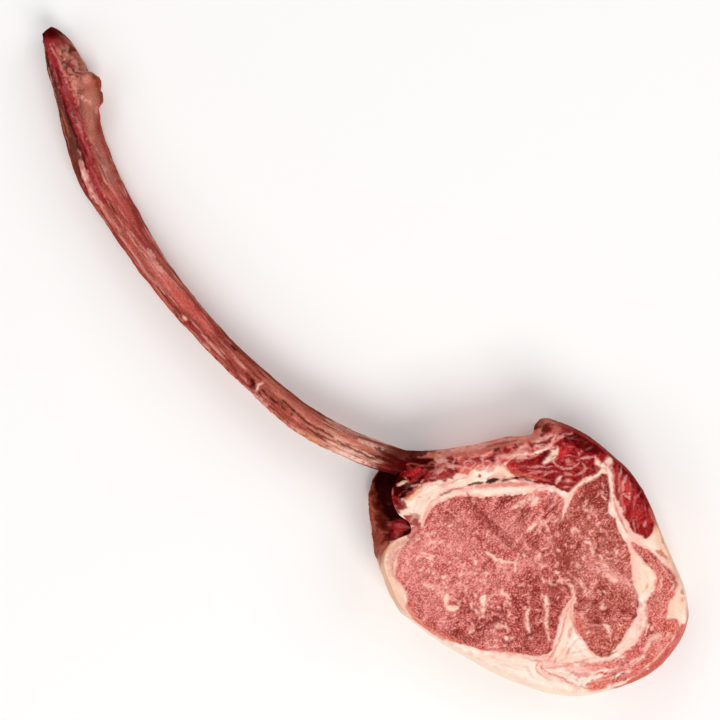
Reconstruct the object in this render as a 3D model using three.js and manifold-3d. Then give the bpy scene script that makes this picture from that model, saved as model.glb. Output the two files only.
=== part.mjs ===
// A raw tomahawk steak: a thick rib steak with its whole long rib left on, lying on a cut face.
// Millimetres, +Z up. The origin is under the middle of the whole, on the surface that it lies on.
// +X runs from the tip of the rib to the far side of the meat, and +Y to the fatter, chine side.
//
// The meat is one slab. Its outline is a closed curve, its side wall leans and bulges, and the cut
// face on top is a height worked out from x and y. The muscles are cut out of that slab as upright
// prisms, right through its thickness, and what is left between and around them is the fat.
// The rib is a section carried along a curve, twisting and swelling as it goes.
import * as THREE from "three";
import { mergeVertices } from "three/addons/utils/BufferGeometryUtils.js";
import Module from "manifold-3d";

const wasm = await Module();
wasm.setup();

// ---- Driving sizes ----------------------------------------------------------------------------
const THICKNESS = 47; // height of the cut face over the surface below
const RIM_DROP = 2.6; // how far the cut face falls at its rim
const RIM_BAND = 5; // width of the band in which it falls
const WAIST_SHARE = 0.5; // the wall is widest at this share of its fall
const FOOT_TUCK = 3; // how far the foot of the wall is drawn in again, but not on the flank
const LEDGE_SHARE = 0.3; // on the hollow flank the wall drops straight down to here
const FLARE_SHARE = 0.86; // and has run out to its widest here
const WAVE_HEIGHT = 0.7; // long waves that the knife left in the cut face
const CUFF_DROP = 8; // how far the cut face sinks where the rib comes out
const CUFF_FULL_X = 60; // it is full at this place along the part, and gone at the next
const CUFF_GONE_X = 80;
const CUFF_TOP_Y = 4; // and it fades away past this line, within CUFF_FADE
const CUFF_FADE = 14;
const SEAM_GAP = 0.3; // clearance between neighbouring solids
const MIDDLE = [146, 2]; // the point that the cut face's rings close on
const OUTLINE_SAMPLES = 96;
const MUSCLE_SAMPLES = 72;
const WALL_LEVELS = [0, 0.1, 0.3, 0.5, 0.7, 0.86, 1]; // 0 at the rim, 1 at the foot
const FACE_RINGS = [0.965, 0.9, 0.78, 0.64, 0.5, 0.36, 0.2]; // from the middle to the rim

const RIB_SIDES = 22;
const RIB_STATIONS = 52;
const RIB_POWER = 2.5; // 2 would make the section an ellipse, more makes it boxier
const RIB_RIDGE = 0.7; // height of the ridges that run along the rib
const FLAP = { at: -197, reach: 7, height: 7.5, angle: 16, spread: 30 };
const FAT_SCRAP = { at: 4, reach: 22, height: 1.6, angle: 200, spread: 34 };

// ---- Outlines, read counter-clockwise from above ------------------------------------------------
// Stations of the slab: where its wall is widest, and where the rim of the cut face is, or how far
// the rim is set in. On the flank below the rib the wall is hollow under a ledge of cut meat.
const STATIONS = [
  { waist: [57.5, -16], rim: [65, -15], hollow: 0.6 },
  { waist: [57.8, -23], rim: [66.5, -21], hollow: 1 },
  { waist: [58.5, -29.5], rim: [68, -26], hollow: 1 },
  { waist: [61.5, -35.5], rim: [72, -30], hollow: 1 },
  { waist: [66.5, -42], rim: [79, -32.6], hollow: 1 },
  { waist: [72, -46.7], rim: [86.5, -32], hollow: 1 },
  { waist: [77, -50], rim: [90.5, -35], hollow: 1 },
  { waist: [82, -53.6], rim: [88.6, -41], hollow: 1 },
  { waist: [87, -58], rim: [87.5, -47.5], hollow: 1 },
  { waist: [93.5, -61.8], rim: [92, -56], hollow: 0.5 },
  { waist: [102.4, -64.8], lean: 3, hollow: 0 },
  { waist: [110, -67.8], lean: 3, hollow: 0 },
  { waist: [117.4, -69.5], lean: 3.5, hollow: 0 },
  { waist: [126, -68.6], lean: 3, hollow: 0 },
  { waist: [140, -66.9], lean: 4, hollow: 0 },
  { waist: [158, -62.6], lean: 5, hollow: 0 },
  { waist: [176, -57.5], lean: 6, hollow: 0 },
  { waist: [191, -51.3], lean: 6.5, hollow: 0 },
  { waist: [204.5, -44.2], lean: 6.5, hollow: 0 },
  { waist: [216.5, -34], lean: 6, hollow: 0 },
  { waist: [225.8, -19.5], lean: 5, hollow: 0 },
  { waist: [231.6, -8], lean: 4.5, hollow: 0 },
  { waist: [234.8, 6], lean: 4.5, hollow: 0 },
  { waist: [234.2, 22], lean: 5, hollow: 0 },
  { waist: [228.6, 35.5], lean: 5, hollow: 0 },
  { waist: [216.5, 45.8], lean: 4, hollow: 0 },
  { waist: [199.1, 52.9], lean: 3.5, hollow: 0 },
  { waist: [183.8, 59.2], lean: 3, hollow: 0 },
  { waist: [168.5, 65.8], lean: 3, hollow: 0 },
  { waist: [152.5, 69.7], lean: 3, hollow: 0 },
  { waist: [137, 69], lean: 3, hollow: 0 },
  { waist: [121, 67], lean: 3, hollow: 0 },
  { waist: [108, 62.4], lean: 3, hollow: 0 },
  { waist: [99.2, 57.4], lean: 2.5, hollow: 0 },
  { waist: [98.9, 52.3], lean: 2, hollow: 0 },
  { waist: [101.2, 47.6], lean: 2, hollow: 0 },
  { waist: [93.8, 37.6], lean: 3.5, hollow: 0 },
  { waist: [86.2, 25.8], lean: 3.5, hollow: 0 },
  { waist: [79.2, 15.8], lean: 3.5, hollow: 0 },
  { waist: [71.4, 4.9], lean: 3.5, hollow: 0 },
  { waist: [63.4, -3.4], lean: 3.5, hollow: 0 },
  { waist: [58, -9], lean: 4, hollow: 0.3 },
];

const EYE_TO_SIDE_SEAM = [
  [170.5, 5.5], [164.5, 7.8], [157.5, 7.2], [150.5, 10.5], [145, 16], [141, 22.5],
];

const MUSCLES = {
  eye_muscle: {
    colour: 0x9c4a48,
    outline: [
      [89, -15], [91, -24], [93, -31], [92.5, -40], [95.5, -50], [101, -56], [110, -58.3],
      [117, -62.6], [124, -63.8], [132, -63], [143, -60], [157, -52.7], [171, -41.8], [183, -32.2],
      [185, -27.5], [179.5, -16.8], [175.5, -9.5], [173.7, -0.5], ...EYE_TO_SIDE_SEAM,
      [138.8, 28.5], [134.5, 33], [129.5, 33.6], [121.5, 26], [113, 15.5], [104, 5.5], [94.5, -4],
    ],
  },
  side_muscle: {
    colour: 0x93463f,
    outline: [
      ...EYE_TO_SIDE_SEAM.slice().reverse(), [175, 1.5], [182, -6.3], [190, -10], [198, -11.8],
      [205.5, -10.5], [208.3, -4], [205.9, 9], [201, 21.5], [190.5, 28], [184, 32.6], [175, 39.5],
      [165.5, 41.8], [160, 45.2], [155, 45.6], [147, 54], [140.6, 58], [138.3, 54], [136.1, 45],
      [136.8, 38], [140, 29.5],
    ],
  },
  cap_muscle: {
    colour: 0xb25a50,
    outline: [
      [187.5, -36.4], [201, -32.8], [213.5, -27], [219, -19.5], [224.6, -7], [227.6, 5],
      [227.9, 18], [224.2, 29], [220.5, 30.8], [216.8, 27.8], [212.8, 32], [209.6, 39.5],
      [208.2, 44], [200, 46.3], [190, 46.3], [181, 45.2], [175.5, 42.6], [182, 41.4], [197, 39.3],
      [200.6, 34], [202.5, 26.5], [210, 19], [213.8, 9], [212.6, -3], [208.6, -13], [199, -24.5],
      [190.5, -32.6],
    ],
  },
  upper_cap_muscle: {
    colour: 0x8a2428,
    outline: [
      [142, 63.6], [147, 60.5], [155, 54.8], [164, 49.8], [173, 48], [178.5, 51], [177.4, 56.8],
      [170, 60.2], [158, 64], [148, 65.2],
    ],
  },
  chine_muscle: {
    colour: 0x7e2026,
    outline: [
      [100.6, 25.6], [106, 24.8], [117, 31.5], [125, 35.6], [131.8, 37.4], [133.3, 44], [134, 50.3],
      [136.4, 54], [135.2, 61], [131, 64.8], [119, 62.6], [110, 59.2], [109, 53], [110.6, 47],
      [107.6, 39.5], [101.2, 31],
    ],
  },
  costal_meat: {
    colour: 0x9a4a44,
    outline: [
      [67, -16.5], [75.5, -13.5], [80.5, -5.5], [85, 3.5], [92, 15], [98.6, 25], [100, 33],
      [106, 41.5], [108.4, 48.5], [106.6, 57.5], [101.5, 56.5], [101, 49.5], [99.8, 41], [93, 31],
      [87, 21.5], [81, 11.5], [74.5, 2.5], [69, -6],
    ],
  },
};
const FAT_COLOUR = 0xf0cdb0;
const RIB_COLOUR = 0x9e5148;

// The middle line of the rib, with its half width seen from above, its half height, and its lean:
// how far its upper edge stands off to the left, as a share of the height.
const RIB_LINE = [
  { at: [-236.5, 15.6, 15.5], wide: 2.6, tall: 5, lean: -0.2 },
  { at: [-233, 15.4, 14.8], wide: 4.6, tall: 9, lean: -0.3 },
  { at: [-226, 14, 14], wide: 6.2, tall: 12, lean: -0.35 },
  { at: [-216, 9.4, 13.6], wide: 8.8, tall: 13.2, lean: -0.4 },
  { at: [-203, 3.2, 13.6], wide: 9.8, tall: 13.4, lean: -0.4 },
  { at: [-184, -9, 13.6], wide: 8.8, tall: 13.4, lean: -0.35 },
  { at: [-162, -19.6, 13.8], wide: 9.7, tall: 13.6, lean: -0.3 },
  { at: [-140, -25.2, 14.8], wide: 8.5, tall: 13.8, lean: -0.2 },
  { at: [-110, -31.5, 16.4], wide: 7.4, tall: 13.8, lean: -0.1 },
  { at: [-80, -35.8, 18.2], wide: 6.8, tall: 13.6, lean: 0 },
  { at: [-50, -37.6, 20], wide: 6.1, tall: 13.4, lean: 0 },
  { at: [-22, -37, 21.4], wide: 6.4, tall: 13.4, lean: 0 },
  { at: [4, -34.8, 22.6], wide: 7, tall: 13.6, lean: 0.05 },
  { at: [30, -28.2, 23.6], wide: 7.2, tall: 13.8, lean: 0.05 },
  { at: [56, -16.8, 24], wide: 7.2, tall: 13.8, lean: 0.05 },
  { at: [76, -5.5, 24], wide: 6.6, tall: 13.2, lean: 0.05 },
];

// ---- Helpers --------------------------------------------------------------------------------------
const smooth = (low, high, value) => THREE.MathUtils.smoothstep(value, low, high);
const bump = (distance, reach) => Math.exp(-((distance / reach) ** 2));

// Evenly counted points of the closed curve through the given [x, y] pairs.
function closedCurve(pairs, count) {
  const curve = new THREE.CatmullRomCurve3(
    pairs.map(([x, y]) => new THREE.Vector3(x, y, 0)),
    true,
    "centripetal",
  );
  return Array.from({ length: count }, (_, i) => {
    const point = curve.getPoint(i / count);
    return new THREE.Vector2(point.x, point.y);
  });
}

// Unit vectors that point out of a counter-clockwise ring, one for each of its points.
function outwards(ring) {
  return ring.map((_, i) => {
    const before = ring[(i + ring.length - 1) % ring.length];
    const after = ring[(i + 1) % ring.length];
    const along = after.clone().sub(before);
    return new THREE.Vector2(along.y, -along.x).normalize();
  });
}

// A closed surface from rings of equal length, the first and the last closed by a point each.
function closedRings(first, rings, last) {
  const positions = [first, ...rings.flat(), last].flatMap((p) => [p.x, p.y, p.z]);
  const sides = rings[0].length;
  const end = 1 + rings.length * sides;
  const index = [];
  for (let i = 0; i < sides; i++) {
    const next = (i + 1) % sides;
    index.push(0, 1 + i, 1 + next);
    for (let r = 0; r + 1 < rings.length; r++) {
      const upper = 1 + r * sides;
      const lower = upper + sides;
      index.push(upper + i, lower + i, lower + next);
      index.push(upper + i, lower + next, upper + next);
    }
    index.push(end - sides + i, end, end - sides + next);
  }
  const geometry = new THREE.BufferGeometry();
  geometry.setAttribute("position", new THREE.Float32BufferAttribute(positions, 3));
  geometry.setIndex(index);
  return geometry;
}

// A geometry as a solid that can be joined and cut.
function solidOf(geometry) {
  const bare = geometry.clone();
  bare.deleteAttribute("normal");
  bare.deleteAttribute("uv");
  const merged = mergeVertices(bare, 1e-4);
  const mesh = new wasm.Mesh({
    numProp: 3,
    vertProperties: new Float32Array(merged.attributes.position.array),
    triVerts: new Uint32Array(merged.index.array),
  });
  return new wasm.Manifold(mesh);
}

// The largest body of a solid: the cuts can leave slivers thinner than a hair beside it.
function largestBody(solid) {
  return solid.decompose().reduce((a, b) => (a.volume() > b.volume() ? a : b));
}

function namedMesh(name, solid, colour, roughness) {
  const { vertProperties, triVerts } = solid.getMesh();
  const geometry = new THREE.BufferGeometry();
  geometry.setAttribute("position", new THREE.Float32BufferAttribute(vertProperties, 3));
  geometry.setIndex(Array.from(triVerts));
  geometry.computeVertexNormals();
  const material = new THREE.MeshStandardMaterial({ color: colour, roughness, metalness: 0 });
  const mesh = new THREE.Mesh(geometry, material);
  mesh.name = name;
  return mesh;
}

// ---- The slab of meat -------------------------------------------------------------------------------
// Height of the cut face: level, with long low waves, and sunk where the rib comes out of it.
function faceHeight(x, y) {
  const wave = Math.sin(x / 17 + 0.6) * Math.cos(y / 21 - 0.4) + 0.5 * Math.sin((x + y) / 11);
  const near = 1 - smooth(CUFF_FULL_X, CUFF_GONE_X, x);
  const cuff = near * (1 - smooth(CUFF_TOP_Y, CUFF_TOP_Y + CUFF_FADE, y));
  return THICKNESS + (WAVE_HEIGHT * wave) / 1.5 - CUFF_DROP * cuff;
}

// How far out the wall is at a share of its fall: 0 above the rim and 1 at its widest.
function wallReach(share, hollow) {
  const plain = Math.sin((Math.PI / 2) * Math.min(share / WAIST_SHARE, 1)) ** 0.8;
  return THREE.MathUtils.lerp(plain, smooth(LEDGE_SHARE, FLARE_SHARE, share), hollow);
}

function slabSolid() {
  const waistOut = outwards(STATIONS.map((s) => new THREE.Vector2(...s.waist)));
  const rimStations = STATIONS.map(({ waist, rim, lean }, i) =>
    rim ?? [waist[0] - lean * waistOut[i].x, waist[1] - lean * waistOut[i].y],
  );
  const waist = closedCurve(STATIONS.map((s) => s.waist), OUTLINE_SAMPLES);
  const rim = closedCurve(rimStations, OUTLINE_SAMPLES);
  const out = outwards(waist);
  const middle = new THREE.Vector2(...MIDDLE);
  const face = FACE_RINGS.slice().reverse().map((share) =>
    rim.map((edge) => {
      const p = middle.clone().lerp(edge, share);
      const fall = RIM_DROP * (1 - smooth(0, RIM_BAND, edge.distanceTo(p)));
      return new THREE.Vector3(p.x, p.y, faceHeight(p.x, p.y) - fall);
    }),
  );
  const wall = WALL_LEVELS.map((share) =>
    rim.map((edge, i) => {
      const place = (i / rim.length) * STATIONS.length;
      const here = STATIONS[Math.floor(place)].hollow;
      const next = STATIONS[Math.ceil(place) % STATIONS.length].hollow;
      const hollow = THREE.MathUtils.lerp(here, next, place % 1);
      const tuck = FOOT_TUCK * (1 - hollow) * smooth(WAIST_SHARE, 1, share) ** 2;
      const p = edge.clone().lerp(waist[i], wallReach(share, hollow));
      p.addScaledVector(out[i], -tuck);
      const top = faceHeight(edge.x, edge.y) - RIM_DROP;
      return new THREE.Vector3(p.x, p.y, top * (1 - share));
    }),
  );
  const topPoint = new THREE.Vector3(...MIDDLE, faceHeight(...MIDDLE));
  const bottomPoint = new THREE.Vector3(...MIDDLE, 0);
  return solidOf(closedRings(topPoint, [...face, ...wall], bottomPoint));
}

// An upright prism through the whole slab, its outline moved outwards by grow.
function musclePrism(outline, grow) {
  const ring = closedCurve(outline, MUSCLE_SAMPLES);
  const out = outwards(ring);
  const shape = new THREE.Shape(ring.map((p, i) => p.clone().addScaledVector(out[i], grow)));
  const geometry = new THREE.ExtrudeGeometry(shape, {
    depth: THICKNESS + 20,
    bevelEnabled: false,
    curveSegments: 1,
  });
  geometry.translate(0, 0, -10);
  return solidOf(geometry);
}

// ---- The rib ------------------------------------------------------------------------------------------
const ribCurve = new THREE.CatmullRomCurve3(RIB_LINE.map((s) => new THREE.Vector3(...s.at)));

// A size of the rib between its stations, by the same share as the curve's own parameter.
function ribSize(key, share) {
  const place = share * (RIB_LINE.length - 1);
  const i = Math.min(Math.floor(place), RIB_LINE.length - 2);
  return THREE.MathUtils.lerp(RIB_LINE[i][key], RIB_LINE[i + 1][key], place - i);
}

// A scrap that stands out of the rib at one place along it and one angle round it.
function scrap({ at, reach, height, angle, spread }, x, degrees) {
  const turn = ((degrees - angle + 540) % 360) - 180;
  return height * bump(x - at, reach) * bump(turn, spread);
}

function ribRing(share, grow) {
  const centre = ribCurve.getPoint(share);
  const along = ribCurve.getTangent(share);
  const side = new THREE.Vector3(-along.y, along.x, 0).normalize();
  const up = along.clone().cross(side);
  const wide = ribSize("wide", share);
  const tall = ribSize("tall", share);
  const lean = ribSize("lean", share);
  return Array.from({ length: RIB_SIDES }, (_, i) => {
    const degrees = (i * 360) / RIB_SIDES;
    const a = THREE.MathUtils.degToRad(degrees);
    const c = Math.cos(a);
    const s = Math.sin(a);
    const power = 2 / RIB_POWER;
    const ridge = RIB_RIDGE * Math.cos(3 * a + centre.x / 46);
    const proud = ridge + scrap(FLAP, centre.x, degrees) + scrap(FAT_SCRAP, centre.x, degrees);
    const across = Math.sign(c) * Math.abs(c) ** power * wide + c * (proud + grow);
    const upwards = Math.sign(s) * Math.abs(s) ** power * tall + s * (ridge / 2 + grow);
    const leaning = across * (1 - Math.abs(lean * s)) + lean * upwards;
    return centre.clone().addScaledVector(side, leaning).addScaledVector(up, upwards);
  });
}

function ribSolid(grow) {
  const shares = Array.from({ length: RIB_STATIONS + 1 }, (_, i) => i / RIB_STATIONS);
  const rings = shares.map((share) => ribRing(share, grow));
  const start = ribCurve.getPoint(0);
  const end = ribCurve.getPoint(1);
  const solid = solidOf(closedRings(start, rings, end));
  const facingOut = solid.volume() > 0 ? solid : solidOf(closedRings(end, rings.reverse(), start));
  return facingOut;
}

// ---- The steak ------------------------------------------------------------------------------------------
const steak = new THREE.Group();
const slab = slabSolid();
const rib = ribSolid(0);
const ribTunnel = ribSolid(SEAM_GAP);

let fat = slab.subtract(ribTunnel);
for (const [name, { outline, colour }] of Object.entries(MUSCLES)) {
  const own = slab.intersect(musclePrism(outline, -SEAM_GAP / 2)).subtract(ribTunnel);
  steak.add(namedMesh(name, largestBody(own), colour, 0.45));
  fat = fat.subtract(musclePrism(outline, SEAM_GAP / 2));
}
steak.add(namedMesh("fat_body", largestBody(fat), FAT_COLOUR, 0.5));
steak.add(namedMesh("rib_bone", rib, RIB_COLOUR, 0.5));

export default steak;
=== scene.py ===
"""A raw tomahawk steak seen from above: marbled muscles, fat and the long rib, on a pale floor.

Sizes in this file are millimetres and areas are worked on in plan, as seen from above, unless a
name says otherwise. Meshes are written in metres.
"""
import math
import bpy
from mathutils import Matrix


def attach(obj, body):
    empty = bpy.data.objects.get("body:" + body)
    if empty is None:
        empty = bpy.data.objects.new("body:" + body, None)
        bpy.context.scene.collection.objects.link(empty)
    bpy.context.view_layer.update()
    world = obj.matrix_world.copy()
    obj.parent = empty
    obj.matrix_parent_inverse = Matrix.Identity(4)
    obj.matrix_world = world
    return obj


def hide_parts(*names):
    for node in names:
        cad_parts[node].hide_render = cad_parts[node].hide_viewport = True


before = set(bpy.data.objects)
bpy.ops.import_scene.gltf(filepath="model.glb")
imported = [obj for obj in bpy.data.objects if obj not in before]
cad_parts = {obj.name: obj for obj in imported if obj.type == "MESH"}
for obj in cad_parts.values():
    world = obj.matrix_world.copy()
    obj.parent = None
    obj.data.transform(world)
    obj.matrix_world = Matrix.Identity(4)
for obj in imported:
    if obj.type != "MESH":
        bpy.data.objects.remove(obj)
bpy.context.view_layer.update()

from types import SimpleNamespace

import bpy
import numpy as np
from bpy.props import FloatProperty, FloatVectorProperty, IntProperty, PointerProperty

bl_info = {
    "name": "Raw Tomahawk Steak",
    "version": (1, 0, 0),
    "blender": (4, 5, 0),
    "location": "3D View > Sidebar > Steak",
    "description": "Builds a raw rib steak with its whole rib, over the model's frame",
    "category": "Add Mesh",
}

MM = 0.001

# The view: straight down, and the level at which the photograph's scale was taken.
VIEW_CENTRE = (8.0, 10.0)
CAMERA_HEIGHT = 1000.0
FACE_DISTANCE = 952.0
MM_PER_PIXEL = 0.52
PHOTO_PIXELS = 720
SENSOR = 36.0


def srgb(red, green, blue):
    """A colour given from 0 to 255 as a screen shows it, as linear light from 0 to 1."""
    return tuple(((c / 255 + 0.055) / 1.055) ** 2.4 for c in (red, green, blue))


# ---- The slab's outline ------------------------------------------------------------
# Stations: where the wall is widest, where the rim of the cut face is or how far it is set in from
# there, and how far the wall is hollow under a ledge.
STATIONS = [
    ((57.5, -16), (65, -15), 0.6), ((57.8, -23), (66.5, -21), 1), ((58.5, -29.5), (68, -26), 1),
    ((61.5, -35.5), (72, -30), 1), ((66.5, -42), (79, -32.6), 1), ((72, -46.7), (86.5, -32), 1),
    ((77, -50), (90.5, -35), 1), ((82, -53.6), (88.6, -41), 1), ((87, -58), (87.5, -47.5), 1),
    ((93.5, -61.8), (92, -56), 0.5), ((102.4, -64.8), 3, 0), ((110, -67.8), 3, 0),
    ((117.4, -69.5), 3.5, 0), ((126, -68.6), 3, 0), ((140, -66.9), 4, 0), ((158, -62.6), 5, 0),
    ((176, -57.5), 6, 0), ((191, -51.3), 6.5, 0), ((204.5, -44.2), 6.5, 0), ((216.5, -34), 6, 0),
    ((225.8, -19.5), 5, 0), ((231.6, -8), 4.5, 0), ((234.8, 6), 4.5, 0), ((234.2, 22), 5, 0),
    ((228.6, 35.5), 5, 0), ((216.5, 45.8), 4, 0), ((199.1, 52.9), 3.5, 0), ((183.8, 59.2), 3, 0),
    ((168.5, 65.8), 3, 0), ((152.5, 69.7), 3, 0), ((137, 69), 3, 0), ((121, 67), 3, 0),
    ((108, 62.4), 3, 0), ((99.2, 57.4), 2.5, 0), ((98.9, 52.3), 2, 0), ((101.2, 47.6), 2, 0),
    ((93.8, 37.6), 3.5, 0), ((86.2, 25.8), 3.5, 0), ((79.2, 15.8), 3.5, 0), ((71.4, 4.9), 3.5, 0),
    ((63.4, -3.4), 3.5, 0), ((58, -9), 4, 0.3),
]
SEAM = [(170.5, 5.5), (164.5, 7.8), (157.5, 7.2), (150.5, 10.5), (145, 16), (141, 22.5)]
MUSCLES = {
    "eye_muscle": [
        (89, -15), (91, -24), (93, -31), (92.5, -40), (95.5, -50), (101, -56), (110, -58.3),
        (117, -62.6), (124, -63.8), (132, -63), (143, -60), (157, -52.7), (171, -41.8),
        (183, -32.2), (185, -27.5), (179.5, -16.8), (175.5, -9.5), (173.7, -0.5), *SEAM,
        (138.8, 28.5), (134.5, 33), (129.5, 33.6), (121.5, 26), (113, 15.5), (104, 5.5),
        (94.5, -4),
    ],
    "side_muscle": [
        *SEAM[::-1], (175, 1.5), (182, -6.3), (190, -10), (198, -11.8), (205.5, -10.5),
        (208.3, -4), (205.9, 9), (201, 21.5), (190.5, 28), (184, 32.6), (175, 39.5),
        (165.5, 41.8), (160, 45.2), (155, 45.6), (147, 54), (140.6, 58), (138.3, 54),
        (136.1, 45), (136.8, 38), (140, 29.5),
    ],
    "cap_muscle": [
        (187.5, -36.4), (201, -32.8), (213.5, -27), (219, -19.5), (224.6, -7), (227.6, 5),
        (227.9, 18), (224.2, 29), (220.5, 30.8), (216.8, 27.8), (212.8, 32), (209.6, 39.5),
        (208.2, 44), (200, 46.3), (190, 46.3), (181, 45.2), (175.5, 42.6), (182, 41.4),
        (197, 39.3), (200.6, 34), (202.5, 26.5), (210, 19), (213.8, 9), (212.6, -3),
        (208.6, -13), (199, -24.5), (190.5, -32.6),
    ],
    "upper_cap_muscle": [
        (142, 63.6), (147, 60.5), (155, 54.8), (164, 49.8), (173, 48), (178.5, 51),
        (177.4, 56.8), (170, 60.2), (158, 64), (148, 65.2),
    ],
    "chine_muscle": [
        (100.6, 25.6), (106, 24.8), (117, 31.5), (125, 35.6), (131.8, 37.4), (133.3, 44),
        (134, 50.3), (136.4, 54), (135.2, 61), (131, 64.8), (119, 62.6), (110, 59.2), (109, 53),
        (110.6, 47), (107.6, 39.5), (101.2, 31),
    ],
    "costal_meat": [
        (67, -16.5), (75.5, -13.5), (80.5, -5.5), (85, 3.5), (92, 15), (98.6, 25), (100, 33),
        (106, 41.5), (108.4, 48.5), (106.6, 57.5), (101.5, 56.5), (101, 49.5), (99.8, 41),
        (93, 31), (87, 21.5), (81, 11.5), (74.5, 2.5), (69, -6),
    ],
}

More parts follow.
